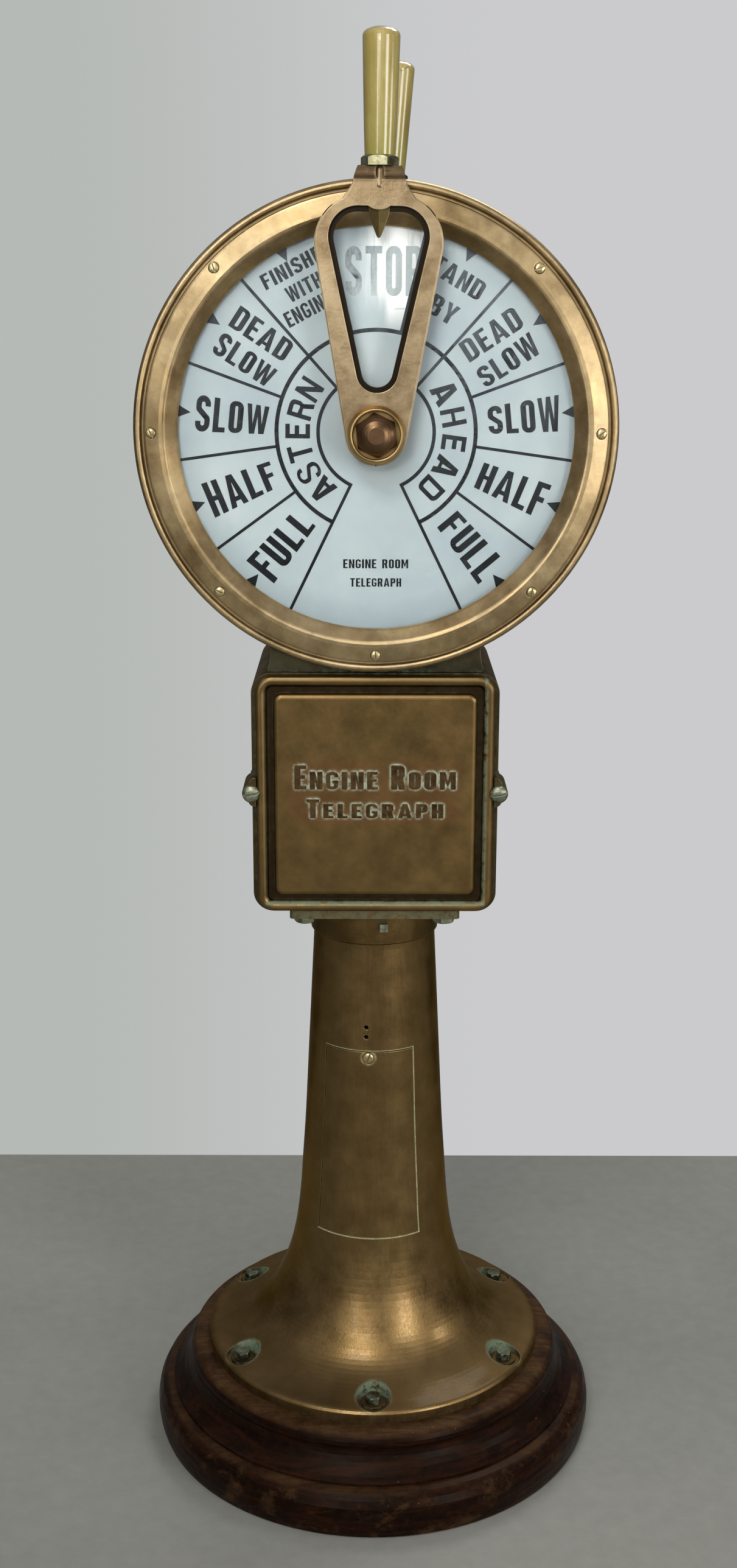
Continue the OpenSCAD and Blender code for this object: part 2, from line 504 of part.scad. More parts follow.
// ---------- bell and terminals inside the case ----------
bell_w = case_back + case_wall;
module bell_frame() {
  color(dark_bronze) case_wall_frame() union() {
    translate([-66, 585, 0]) cube([126, 104, 3]);
    // Gong post
    translate([-30, 651, 2]) cylinder(r = 6, h = 29.6);
    translate([-30, 651, 30]) cylinder(r = 4, h = 6);
    translate([-30, 651, 34]) cylinder(r = 6.5, h = 4, $fn = 6);
    // Hammer pivot and back stop
    translate([10, 622, 2]) cylinder(r = 2.5, h = 24);
    translate([14.6, 646, 2]) cylinder(r = 2, h = 20);
    // Coil bracket and coils
    translate([46, 586, 2]) cube([4, 38, 26]);
    for (z = [595, 613]) translate([19, z, 17]) rotate([0, 90, 0]) { cylinder(r = 3, h = 28); translate([0, 0, 3]) cylinder(r = 7.6, h = 24.4); }
  }
}
// Local X to the right, local Y up from the floor, local Z off the case's back wall.
module case_wall_frame() { translate([0, -bell_w, 0]) rotate([90, 0, 0]) children(); }
module bell_gong() {
  color(pale_brass) case_wall_frame() translate([-30, 651, 5]) rotate_extrude() polygon([[31, 0], [32, 0.6], [31.6, 7], [29.8, 14], [26, 20], [20.6, 24.6], [13.6, 27.6], [6, 29], [4.15, 29],
    [4.15, 26.6], [6, 26.6], [12.8, 25.3], [19.4, 22.4], [24.2, 18.3], [27.6, 12.8], [29.3, 6.6], [29.8, 0.6]]);
}
module bell_hammer() {
  color([0.45, 0.46, 0.48]) case_wall_frame() difference() {
    union() {
      translate([10, 622, 12]) cylinder(r = 5, h = 10);
      translate([8.6, 594, 14]) cube([2.8, 58, 6]);
      translate([10, 654, 8]) cylinder(r = 5.4, h = 14);
      translate([11.2, 589, 11]) cube([4.6, 28, 12]);
    }
    translate([10, 622, 0]) cylinder(r = 2.55, h = 40);
  }
}
module terminal_block() {
  color([0.14, 0.09, 0.07]) case_wall_frame() union() {
    translate([-62, 545, 0]) cube([124, 26, 14]);
    for (k = [0 : 8]) translate([-54 + 13.5 * k, 558, 13.9]) cylinder(r = 4, h = 5);
    for (k = [0 : 9]) translate([-61.8 + 13.5 * k, 545, 13.9]) cube([2, 26, 6]);
  }
}
// Wiring loom: from the terminal block up through the saddle to the head.
loom_pts = [[-40, 64, 571.2], [-40, 64, 576], [-48, 60, 582], [-68, 52, 590], [-82, 40, 604], [-84, 24, 630], [-83, 8, 660], [-78, -6, 688], [-63, -16, 705], [-50, -20, 722], [-46, -21, 740],
  [-46, -22, 762], [-50, -26, 786], [-58, -36, 812], [-60, -48, 836], [-56, -56, 852], [-50, -60, 864]];
loom = smooth(loom_pts, 3);
function vn(v) = v / norm(v);
module wiring_loom() {
  n = 10;
  m = len(loom);
  tn = [for (i = [0 : m - 1]) vn(loom[min(i + 1, m - 1)] - loom[max(i - 1, 0)])];
  ring = [for (i = [0 : m - 1]) let (a = vn(cross(tn[i], [0, 1, 0.001])), b = cross(tn[i], a)) [for (k = [0 : n - 1]) loom[i] + 4.5 * (cos(360 * k / n) * a + sin(360 * k / n) * b)]];
  color([0.08, 0.08, 0.08]) polyhedron(points = [for (r = ring) for (p = r) p],
    faces = concat([[for (k = [n - 1 : -1 : 0]) k]], [[for (k = [0 : n - 1]) (m - 1) * n + k]],
      [for (i = [0 : m - 2]) for (k = [0 : n - 1]) [i * n + k, i * n + (k + 1) % n, (i + 1) * n + (k + 1) % n, (i + 1) * n + k]]));
}

plinth();
plinth_bolts();
plinth_washers();
column();
column_door();
door_screw();
column_collar();
collar_bolts();
collar_set_screws();
case_body();
case_cover();
cover_gasket();
cover_screws();
drum_casing();
drum_foot_screws();
bearing_plate();
bearing_plate_screws();
shaft_bushes();
contact_pillars();
contact_plates();
contact_studs();
face() detent_spring();  // front_detent_spring
rear_face() detent_spring();  // rear_detent_spring
detent_spring_screws();
lamp_holders();
lamp_bulbs();
face() bezel();  // front_bezel
rear_face() bezel();  // rear_bezel
face() bezel_screws();  // front_bezel_screws
rear_face() bezel_screws();  // rear_bezel_screws
face() glass();  // front_glass
rear_face() glass();  // rear_glass
face() dial();  // front_dial
rear_face() dial();  // rear_dial
face() gasket();  // front_gasket
rear_face() gasket();  // rear_gasket
front_lever_place() lever_shaft();  // front_shaft
front_lever_place() lever();  // front_lever
front_lever_place() pointer();  // front_pointer
front_lever_place() hub_collar();  // front_hub_collar
front_lever_place() cap_nut();  // front_cap_nut
front_lever_place() grip();  // front_grip
front_lever_place() ferrule();  // front_ferrule
face() star_wheel();  // front_star_wheel
face() contact_arm();  // front_contact_arm
rear_lever_place() lever_shaft();  // rear_shaft
rear_lever_place() lever();  // rear_lever
rear_lever_place() pointer();  // rear_pointer
rear_lever_place() hub_collar();  // rear_hub_collar
rear_lever_place() cap_nut();  // rear_cap_nut
rear_lever_place() grip();  // rear_grip
rear_lever_place() ferrule();  // rear_ferrule
rear_face() star_wheel();  // rear_star_wheel
rear_face() contact_arm();  // rear_contact_arm
bell_frame();
bell_gong();
bell_hammer();
terminal_block();
wiring_loom();
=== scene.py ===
"""Looks for the ship's engine telegraph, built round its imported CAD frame. Metres, +Z up, front dial facing -Y."""
import math
import json
import random

import bpy
import bmesh
from mathutils import Vector, Matrix


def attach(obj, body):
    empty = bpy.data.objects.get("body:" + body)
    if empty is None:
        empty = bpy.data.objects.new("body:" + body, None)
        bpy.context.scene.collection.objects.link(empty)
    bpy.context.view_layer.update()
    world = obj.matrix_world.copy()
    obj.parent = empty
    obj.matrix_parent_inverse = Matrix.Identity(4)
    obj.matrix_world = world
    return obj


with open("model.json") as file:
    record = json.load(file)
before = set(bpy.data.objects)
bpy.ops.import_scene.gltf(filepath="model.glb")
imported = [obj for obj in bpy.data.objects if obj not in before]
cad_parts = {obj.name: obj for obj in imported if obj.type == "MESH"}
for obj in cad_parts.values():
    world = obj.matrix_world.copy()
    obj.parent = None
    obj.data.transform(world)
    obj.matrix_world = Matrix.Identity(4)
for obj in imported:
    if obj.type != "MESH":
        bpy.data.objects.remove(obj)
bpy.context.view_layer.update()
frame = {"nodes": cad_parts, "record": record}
NODES = frame["nodes"]
MM = 0.001
HUB = 0.920
random.seed(7)


# ------------------------------------------------------------------ helpers
def front(x, u, w):
    """Dial frame to row frame: x right, u up from the shaft, w out of the front dial (mm)."""
    return Vector((x * MM, -w * MM, HUB + u * MM))


def add_mesh(name, verts, faces, mat, smooth=True):
    me = bpy.data.meshes.new(name)
    me.from_pydata([tuple(v) for v in verts], [], faces)
    me.update()
    o = bpy.data.objects.new(name, me)
    bpy.context.scene.collection.objects.link(o)
    if mat:
        me.materials.append(mat)
    if smooth:
        for p in me.polygons:
            p.use_smooth = True
    return o


def auto_smooth(o, degrees=30):
    """Smooth shading with sharp edges above an angle."""
    me = o.data
    bm = bmesh.new()
    bm.from_mesh(me)
    lim = math.radians(degrees)
    for f in bm.faces:
        f.smooth = True
    for e in bm.edges:
        if len(e.link_faces) == 2:
            e.smooth = e.calc_face_angle(0) < lim
    bm.to_mesh(me)
    bm.free()
    return o


def revolve(name, profile, mat, seg=192, origin=(0, 0, 0), axis="Z", closed=False, flip=False):
    """Turned body from (r, z) points in mm. axis Z stands up; axis W lies along the dial's own axis, with z as w."""
    verts, faces = [], []
    n = len(profile)
    for k in range(seg):
        a = 2 * math.pi * k / seg
        c, s = math.cos(a), math.sin(a)
        for r, z in profile:
            if axis == "Z":
                verts.append(((r * c + origin[0]) * MM, (r * s + origin[1]) * MM, (z + origin[2]) * MM))
            else:
                verts.append(tuple(front(r * c + origin[0], r * s + origin[1], z + origin[2])))
    last = n if closed else n - 1
    for k in range(seg):
        k2 = (k + 1) % seg
        for i in range(last):
            j = (i + 1) % n
            f = (k * n + i, k2 * n + i, k2 * n + j, k * n + j)
            faces.append(f if not flip else f[::-1])
    o = add_mesh(name, verts, faces, mat)
    bm = bmesh.new()
    bm.from_mesh(o.data)
    bmesh.ops.remove_doubles(bm, verts=bm.verts, dist=1e-6)
    bmesh.ops.dissolve_degenerate(bm, edges=bm.edges, dist=1e-7)
    bmesh.ops.recalc_face_normals(bm, faces=bm.faces)
    bm.to_mesh(o.data)
    bm.free()
    return o


def turn_about_hub(o, degrees, about_z=False):
    """Bakes into the mesh a half turn to the rear dial, then a turn about the shaft."""
    m = Matrix.Identity(4)
    if about_z:
        m = Matrix.Rotation(math.pi, 4, "Z")
    t = Matrix.Translation((0, 0, HUB))
    m = t @ Matrix.Rotation(math.radians(degrees), 4, "Y") @ t.inverted() @ m
    o.data.transform(m)
    o.data.update()
    return o


# ------------------------------------------------------------------ node materials
class Tree:
    def __init__(self, name):
        self.mat = bpy.data.materials.new(name)
        self.mat.use_nodes = True
        self.nt = self.mat.node_tree
        self.nt.nodes.clear()
        self.out = self.nt.nodes.new("ShaderNodeOutputMaterial")
        self.bsdf = self.nt.nodes.new("ShaderNodeBsdfPrincipled")
        self.link(self.bsdf.outputs[0], self.out.inputs[0])
        self._co = None

    def link(self, a, b):
        self.nt.links.new(a, b)

    def put(self, socket, value):
        if hasattr(value, "node"):
            self.link(value, socket)
        elif isinstance(value, (tuple, list)) and len(value) == 3 and len(socket.default_value) == 4:
            socket.default_value = (*value, 1.0)
        else:
            socket.default_value = value

    def co(self):
        if self._co is None:
            self._co = self.nt.nodes.new("ShaderNodeTexCoord").outputs["Object"]
        return self._co

    def scaled(self, s, offset=(0, 0, 0), rot=(0, 0, 0)):
        n = self.nt.nodes.new("ShaderNodeMapping")
        self.link(self.co(), n.inputs["Vector"])
        n.inputs["Scale"].default_value = s
        n.inputs["Location"].default_value = offset
        n.inputs["Rotation"].default_value = rot
        return n.outputs[0]

    def noise(self, scale, detail=4.0, rough=0.55, vec=None, distortion=0.0):
        n = self.nt.nodes.new("ShaderNodeTexNoise")
        self.link(vec or self.co(), n.inputs["Vector"])
        n.inputs["Scale"].default_value = scale
        n.inputs["Detail"].default_value = detail
        n.inputs["Roughness"].default_value = rough
        n.inputs["Distortion"].default_value = distortion
        return n.outputs["Fac"]

    def voronoi(self, scale, feature="F1", vec=None, rand=1.0):
        n = self.nt.nodes.new("ShaderNodeTexVoronoi")
        n.feature = feature
        self.link(vec or self.co(), n.inputs["Vector"])
        n.inputs["Scale"].default_value = scale
        n.inputs["Randomness"].default_value = rand
        return n.outputs["Distance"]

    def ramp(self, fac, stops, interp="LINEAR"):
        n = self.nt.nodes.new("ShaderNodeValToRGB")
        n.color_ramp.interpolation = interp
        el = n.color_ramp.elements
        while len(el) < len(stops):
            el.new(0.5)
        for e, (p, c) in zip(el, stops):
            e.position = p
            e.color = (c, c, c, 1) if isinstance(c, (int, float)) else (*c, 1)
        self.link(fac, n.inputs[0])
        return n.outputs[0]

    def span(self, v, a, b, c=0.0, d=1.0, smooth=False):
        n = self.nt.nodes.new("ShaderNodeMapRange")
        if smooth:
            n.interpolation_type = "SMOOTHSTEP"
        n.clamp = True
        self.put(n.inputs[0], v)
        for i, x in enumerate((a, b, c, d)):
            n.inputs[i + 1].default_value = x
        return n.outputs[0]

    def math(self, op, a, b=0.0, clamp=False):
        n = self.nt.nodes.new("ShaderNodeMath")
        n.operation = op
        n.use_clamp = clamp
        self.put(n.inputs[0], a)
        self.put(n.inputs[1], b)
        return n.outputs[0]

    def mix(self, fac, a, b, blend="MIX"):
        n = self.nt.nodes.new("ShaderNodeMix")
        n.data_type = "RGBA"
        n.blend_type = blend
        n.clamp_factor = True
        self.put(n.inputs[0], fac)
        self.put(n.inputs[6], a)
        self.put(n.inputs[7], b)
        return n.outputs[2]

    def mixf(self, fac, a, b):
        n = self.nt.nodes.new("ShaderNodeMix")
        n.data_type = "FLOAT"
        self.put(n.inputs[0], fac)
        self.put(n.inputs[2], a)
        self.put(n.inputs[3], b)
        return n.outputs[0]

    def ao(self, dist, inside=False, samples=6):
        n = self.nt.nodes.new("ShaderNodeAmbientOcclusion")
        n.samples = samples
        n.inside = inside
        n.inputs["Distance"].default_value = dist
        return n.outputs["AO"]

    def edge(self, radius, lo=0.01, hi=0.12):
        """1 where the surface turns sharply within radius."""
        b = self.nt.nodes.new("ShaderNodeBevel")
        b.samples = 6
        b.inputs["Radius"].default_value = radius
        g = self.nt.nodes.new("ShaderNodeNewGeometry")
        d = self.nt.nodes.new("ShaderNodeVectorMath")
        d.operation = "DOT_PRODUCT"
        self.link(b.outputs[0], d.inputs[0])
        self.link(g.outputs["Normal"], d.inputs[1])
        return self.span(self.math("SUBTRACT", 1.0, d.outputs["Value"]), lo, hi)

    def bump(self, height, strength, dist, normal=None):
        n = self.nt.nodes.new("ShaderNodeBump")
        n.inputs["Strength"].default_value = strength
        n.inputs["Distance"].default_value = dist
        self.link(height, n.inputs["Height"])
        if normal is not None:
            self.link(normal, n.inputs["Normal"])
        return n.outputs[0]

    def rounded(self, radius):
        b = self.nt.nodes.new("ShaderNodeBevel")
        b.samples = 6
        b.inputs["Radius"].default_value = radius
        return b.outputs[0]

    def set(self, **kw):
        names = {"color": "Base Color", "metallic": "Metallic", "rough": "Roughness", "normal": "Normal", "coat": "Coat Weight", "coat_rough": "Coat Roughness",
                 "ior": "IOR", "trans": "Transmission Weight", "spec": "Specular IOR Level", "alpha": "Alpha", "sss": "Subsurface Weight", "emit": "Emission Strength",
                 "emit_color": "Emission Color", "aniso": "Anisotropic", "tint": "Specular Tint"}
        for k, v in kw.items():
            self.put(self.bsdf.inputs[names[k]], v)
        return self.mat


def srgb(r, g, b):
    f = lambda v: v / 255 / 12.92 if v <= 10 else ((v / 255 + 0.055) / 1.055) ** 2.4
    return (f(r), f(g), f(b))


def bronze(name, bright, mid, dark, wear=1.0, green=0.5, rough=(0.24, 0.46), grain="none", bevel=0.0008, dirt=0.012, blotch=1.0, bumpy=1.0, black=None, crev_hi=0.80, text=None, coat=0.0, groove=None, seam=None, streaks=False, mint=None, flat_dull=False, brown=None, edge_tint=(0.86, 0.76, 0.60), coat_rough=0.3):
    """Old cast bronze: bright where hands rub it, brown in the hollows, verdigris in the corners. black(t) gives a mask
    of parts painted near black.
    """
    t = Tree(name)
    big = t.noise(9, 5, 0.6, distortion=0.3)
    mid_n = t.noise(46, 6, 0.62)
    fine = t.noise(420, 4, 0.6)
    if streaks:
        big = t.mixf(0.6, big, t.noise(1.0, 5, 0.62, vec=t.scaled((34, 34, 5), (2, 5, 1)), distortion=0.5))
    blot = t.ramp(t.mixf(0.45, big, mid_n), [(0.36, 0.0), (0.50, 0.45), (0.64, 1.0)])
    col = t.mix(t.math("MULTIPLY", blot, 0.75 * blotch), mid, bright)
    patches = t.ramp(t.noise(24, 6, 0.68, vec=t.scaled((1, 1, 1), (3.1, 1.7, 0.4))), [(0.42, 0.0), (0.60, 1.0)])
    col = t.mix(t.math("MULTIPLY", patches, (0.26 if streaks else 0.42) * blotch), col, dark)
    occ = t.ao(dirt)
    crev = t.span(occ, crev_hi, crev_hi - 0.5)
    dirty = t.math("MULTIPLY", crev, t.span(mid_n, 0.30, 0.62, 0.55, 1.0), clamp=True)
    col = t.mix(dirty, col, dark)
    e = t.edge(0.0016, 0.015, 0.16)
    open_edge = t.math("MULTIPLY", e, t.span(occ, 0.55, 0.92))
    worn = t.math("MULTIPLY", open_edge, t.span(mid_n, 0.30, 0.55, 0.35, 1.0))
    col = t.mix(t.math("MULTIPLY", worn, 0.85 * wear, clamp=True), col, tuple(min(1.0, c * 1.25 + 0.03) for c in bright))
    if groove is not None:
        col = t.mix(t.math("MULTIPLY", groove(t), 0.88), col, tuple(c * 0.45 for c in dark))
    # brown(t) masks an area painted darker than the dark tone: partly tarnish, partly painted shade (the lever head's
    # sloping face)
    if brown is not None:
        col = t.mix(t.math("MULTIPLY", brown(t), t.span(mid_n, 0.3, 0.6, 0.75, 0.95)), col, tuple(c * 0.42 for c in dark))
    # verdigris settles in the corners and in a few specks
    gn = t.noise(150, 6, 0.7, vec=t.scaled((1, 1, 1), (0.2, 4.4, 2.2)))
    corner = t.math("MULTIPLY", t.span(occ, 0.60, 0.22), t.span(gn, 0.42, 0.62))
    specks = t.math("MULTIPLY", t.span(t.noise(70, 8, 0.75, vec=t.scaled((1, 1, 1), (7, 2, 5))), 0.66, 0.74), 0.5)
    verd = t.math("MULTIPLY", t.math("MAXIMUM", corner, specks), green, clamp=True)
    col = t.mix(verd, col, t.mix(gn, srgb(62, 76, 60), srgb(138, 158, 138)))
    if text is not None:
        band = text(t)
        near = t.math("MULTIPLY", t.span(t.ao(0.0027, samples=14), 0.96, 0.77), t.span(t.noise(130, 5, 0.72), 0.38, 0.56, 0.12, 1.0))
        near = t.math("MULTIPLY", near, band)
        rubbed = t.math("MULTIPLY", band, t.span(t.noise(40, 5, 0.6), 0.35, 0.6, 0.2, 0.6))
        col = t.mix(rubbed, col, srgb(150, 108, 72))
        col = t.mix(near, col, t.mix(t.noise(300, 4, 0.6), srgb(150, 164, 132), srgb(222, 230, 212)))
        verd = t.math("MAXIMUM", verd, near)
    if mint is not None:
        m = t.math("MULTIPLY", mint(t), t.span(t.noise(140, 6, 0.72, vec=t.scaled((1, 1, 1), (3, 9, 5))), 0.34, 0.52), clamp=True)
        col = t.mix(m, col, t.mix(gn, srgb(84, 100, 76), srgb(150, 168, 142)))
        verd = t.math("MAXIMUM", verd, m)
    if seam is not None:
        crust = t.math("MULTIPLY", seam(t), t.span(t.noise(260, 4, 0.7), 0.30, 0.46, 0.45, 1.0))
        col = t.mix(crust, col, t.mix(gn, srgb(140, 138, 96), srgb(196, 194, 152)))
        verd = t.math("MAXIMUM", verd, crust)
    r = t.mixf(t.span(mid_n, 0.3, 0.7), rough[0], rough[1])
    if flat_dull:
        # level surfaces hold dust and are rarely rubbed
        g3 = t.nt.nodes.new("ShaderNodeNewGeometry")
        s3 = t.nt.nodes.new("ShaderNodeSeparateXYZ")
        t.link(g3.outputs["Normal"], s3.inputs[0])
        level = t.span(s3.outputs[2], 0.62, 0.93, smooth=True)
        col = t.mix(t.math("MULTIPLY", level, 0.55), col, tuple(0.5 * (a + b) for a, b in zip(dark, srgb(78, 66, 48))))
        r = t.math("ADD", r, t.math("MULTIPLY", level, 0.22))
    r = t.math("ADD", r, t.math("MULTIPLY", fine, 0.10))
    r = t.math("SUBTRACT", r, t.math("MULTIPLY", worn, 0.08))
    r = t.math("ADD", r, t.math("MULTIPLY", dirty, 0.22))
    r = t.math("ADD", r, t.math("MULTIPLY", verd, 0.35), clamp=True)
    metal = t.math("SUBTRACT", 1.0, t.math("MULTIPLY", verd, 0.9), clamp=True)
    metal = t.math("SUBTRACT", metal, t.math("MULTIPLY", dirty, 0.25), clamp=True)
    if black is not None:
        k = black(t)
        col = t.mix(k, col, t.mix(mid_n, srgb(24, 17, 10), srgb(46, 36, 22)))
        r = t.mixf(k, r, 0.5)
        metal = t.mixf(k, metal, 0.9)
    if grain == "vertical":
        g = t.noise(1.0, 3, 0.6, vec=t.scaled((620, 620, 9)))
        h = t.mixf(0.5, g, fine)
        r = t.math("ADD", r, t.span(g, 0.35, 0.7, -0.03, 0.06))
    elif grain == "turned":
        g = t.noise(1.0, 2, 0.5, vec=t.scaled((60, 60, 60)))
        h = t.mixf(0.75, g, fine)
    elif grain == "cast":
        h = t.mixf(0.6, t.noise(230, 5, 0.6), t.noise(60, 4, 0.5))
    else:
        h = fine
    pits = t.span(t.voronoi(260), 0.10, 0.02)
    pits = t.math("MULTIPLY", pits, t.span(t.noise(30, 3, 0.5, vec=t.scaled((1, 1, 1), (9, 9, 1))), 0.55, 0.62))
    h = t.math("SUBTRACT", h, t.math("MULTIPLY", pits, 0.8))
    h = t.math("ADD", h, t.math("MULTIPLY", verd, 0.6))
    n = t.bump(h, 0.22 * bumpy, 0.0006, t.rounded(bevel))
    return t.set(color=col, metallic=metal, rough=r, normal=n, coat=coat, coat_rough=coat_rough, tint=edge_tint)


# ------------------------------------------------------------------ lettering
T = 0.178   # stem width of a letter one unit high
H = 0.150   # thickness of its cross strokes


def arc(cx, cy, rx, ry, a0, a1, n=9):
    return [(cx + rx * math.cos(math.radians(a0 + (a1 - a0) * i / n)), cy + ry * math.sin(math.radians(a0 + (a1 - a0) * i / n))) for i in range(n + 1)]


def rounded_box(x0, y0, x1, y1, r):
    r = max(0.001, min(r, (x1 - x0) / 2, (y1 - y0) / 2))
    return arc(x1 - r, y1 - r, r, r, 0, 90) + arc(x0 + r, y1 - r, r, r, 90, 180) + arc(x0 + r, y0 + r, r, r, 180, 270) + arc(x1 - r, y0 + r, r, r, 270, 360)


def ribbon(path, t):
    left, right = [], []
    for i, p in enumerate(path):
        a, b = path[max(i - 1, 0)], path[min(i + 1, len(path) - 1)]
        dx, dy = b[0] - a[0], b[1] - a[1]
        d = math.hypot(dx, dy) or 1
        nx, ny = -dy / d * t / 2, dx / d * t / 2
        left.append((p[0] + nx, p[1] + ny))
        right.append((p[0] - nx, p[1] - ny))
    return left + right[::-1]


def glyph(c):
    """Width, and outlines of one capital; later outlines are holes or further shapes."""
    if c == " ":
        return 0.30, []
    if c == "I":
        return T, [[(0, 0), (T, 0), (T, 1), (0, 1)]]
    if c == "L":
        w = 0.39
        return w, [[(0, 0), (w, 0), (w, H), (T, H), (T, 1), (0, 1)]]
    if c in "EF":
        w = 0.40
        top = [(T, 1 - H), (w, 1 - H), (w, 1), (0, 1)]
        mid = [(T, 0.44), (w - 0.04, 0.44), (w - 0.04, 0.44 + H), (T, 0.44 + H)]
        low = [(0, 0), (w, 0), (w, H), (T, H)] if c == "E" else [(0, 0), (T, 0)]
        return w, [low + mid + top]
    if c == "H":
        w = 0.46
        return w, [[(0, 0), (T, 0), (T, 0.43), (w - T, 0.43), (w - T, 0), (w, 0), (w, 1), (w - T, 1), (w - T, 0.57), (T, 0.57), (T, 1), (0, 1)]]
    if c == "T":
        w = 0.46
        return w, [[(w / 2 - T / 2, 0), (w / 2 + T / 2, 0), (w / 2 + T / 2, 1 - H), (w, 1 - H), (w, 1), (0, 1), (0, 1 - H), (w / 2 - T / 2, 1 - H)]]
    if c == "A":
        w, s, k = 0.54, 0.175, 0.165
        return w, [[(0, 0), (k, 0), (k + s * 0.17, 0.17), (w - k - s * 0.17, 0.17), (w - k, 0), (w, 0), (w - s, 1), (s, 1)],
                   [(k + s * 0.32, 0.31), (w - k - s * 0.32, 0.31), (w / 2 + 0.006, 0.74), (w / 2 - 0.006, 0.74)]]
    if c == "N":
        w = 0.48
        return w, [[(0, 0), (T * 0.92, 0), (T * 0.92, 0.62), (w - T * 0.98, 0), (w, 0), (w, 1), (w - T * 0.92, 1), (w - T * 0.92, 0.38), (T * 0.98, 1), (0, 1)]]
    if c == "M":
        w = 0.60
        return w, [[(0, 0), (T * 0.9, 0), (T * 0.9, 0.60), (w / 2, 0.12), (w - T * 0.9, 0.60), (w - T * 0.9, 0), (w, 0), (w, 1), (w - T, 1), (w / 2, 0.46), (T, 1), (0, 1)]]
    if c == "W":
        return 0.70, [[(0.115, 0), (0.285, 0), (0.35, 0.60), (0.415, 0), (0.585, 0), (0.70, 1), (0.555, 1), (0.495, 0.34), (0.42, 1), (0.28, 1), (0.205, 0.34), (0.145, 1), (0, 1)]]
    if c == "Y":
        w = 0.50
        return w, [[(w / 2 - T / 2, 0), (w / 2 + T / 2, 0), (w / 2 + T / 2, 0.42), (w, 1), (w - 0.17, 1), (w / 2, 0.60), (0.17, 1), (0, 1), (w / 2 - T / 2, 0.42)]]
    if c == "O":
        w = 0.45
        return w, [rounded_box(0, 0, w, 1, 0.20), rounded_box(T, H, w - T, 1 - H, 0.07)]
    if c == "U":
        w = 0.45
        return w, [[(0, 1)] + arc(0.2, 0.2, 0.2, 0.2, 180, 270) + arc(w - 0.2, 0.2, 0.2, 0.2, 270, 360) + [(w, 1), (w - T, 1)]
                   + arc(w - T - 0.055, H + 0.06, 0.055, 0.06, 0, -90, 5) + arc(T + 0.055, H + 0.06, 0.055, 0.06, 270, 180, 5) + [(T, 1)]]
    if c == "D":
        w = 0.47
        return w, [[(0, 0)] + arc(w - 0.2, 0.2, 0.2, 0.2, 270, 360) + arc(w - 0.2, 0.8, 0.2, 0.2, 0, 90) + [(0, 1)],
                   [(T, H)] + arc(w - T - 0.06, H + 0.07, 0.06, 0.07, 270, 360, 5) + arc(w - T - 0.06, 1 - H - 0.07, 0.06, 0.07, 0, 90, 5) + [(T, 1 - H)]]
    if c == "P":
        w = 0.46
        return w, [[(0, 0), (T, 0), (T, 0.40)] + arc(w - 0.17, 0.57, 0.17, 0.17, 270, 360) + arc(w - 0.17, 0.83, 0.17, 0.17, 0, 90) + [(0, 1)],
                   [(T, 0.40 + H)] + arc(w - T - 0.05, 0.60, 0.05, 0.055, 270, 360, 5) + arc(w - T - 0.05, 1 - H - 0.055, 0.05, 0.055, 0, 90, 5) + [(T, 1 - H)]]
    if c == "R":
        w = 0.48
        return w, [[(0, 0), (T, 0), (T, 0.41), (w - T - 0.08, 0.41), (w - T - 0.01, 0), (w, 0), (w - 0.075, 0.44)] + arc(w - 0.19, 0.60, 0.17, 0.15, 320, 360, 4)
                   + arc(w - 0.19, 0.83, 0.17, 0.17, 0, 90) + [(0, 1)],
                   [(T, 0.41 + H)] + arc(w - T - 0.07, 0.61, 0.05, 0.055, 270, 360, 5) + arc(w - T - 0.07, 1 - H - 0.055, 0.05, 0.055, 0, 90, 5) + [(T, 1 - H)]]
    if c == "B":
        w = 0.47
        return w, [[(0, 0)] + arc(w - 0.16, 0.16, 0.16, 0.16, 270, 360) + [(w, 0.38)] + arc(w - 0.10, 0.40, 0.10, 0.12, 0, 70, 4) + arc(w - 0.12, 0.66, 0.10, 0.12, 290, 360, 4)
                   + arc(w - 0.18, 0.84, 0.16, 0.16, 0, 90) + [(0, 1)],
                   [(T, H)] + arc(w - T - 0.05, H + 0.05, 0.05, 0.05, 270, 360, 5) + arc(w - T - 0.05, 0.40, 0.05, 0.05, 0, 90, 5) + [(T, 0.45)],
                   [(T, 0.58)] + arc(w - T - 0.07, 0.63, 0.05, 0.05, 270, 360, 5) + arc(w - T - 0.07, 1 - H - 0.05, 0.05, 0.05, 0, 90, 5) + [(T, 1 - H)]]
    if c == "S":
        w, t = 0.46, min(T, 0.17)
        R, ri = w / 2, w / 2 - t
        e, k = 0.05, 0.16
        up = arc(R, 1 - R, R, R, 0, 180, 14) + arc(k, 0.66, k, k, 180, 240, 5)
        low_in = arc(w - t - e, 0.33 - 0.01, e, e, 60, 0, 4) + arc(R, R, ri, ri, 0, -180, 12) + [(t, 0.29), (0, 0.29)]
        low = arc(R, R, R, R, 180, 360, 14) + arc(w - k, 0.34, k, k, 0, 60, 5)
        up_in = arc(t + e, 0.67 + 0.01, e, e, 240, 180, 4) + arc(R, 1 - R, ri, ri, 180, 0, 12) + [(w - t, 0.71), (w, 0.71)]
        return w, [up + low_in + low + up_in]
    if c == "G":
        w, t = 0.46, 0.155
        r = (w - t) / 2
        path = [(w - t / 2, 0.70)] + arc(w / 2, 1 - t / 2 - r, r, r, 0, 180, 14) + arc(w / 2, t / 2 + r, r, r, 180, 360, 14) + [(w - t / 2, 0.50)]
        out = ribbon(path, t)
        n = len(path)
        # the bar joins on at the end of the stroke: left side point, then right side point
        bar = [(w - t, 0.36), (w * 0.52, 0.36), (w * 0.52, 0.50)]
        return w, [out[:n - 1] + [(w - t, 0.36)] + bar[1:] + out[n:]]
    raise ValueError(c)


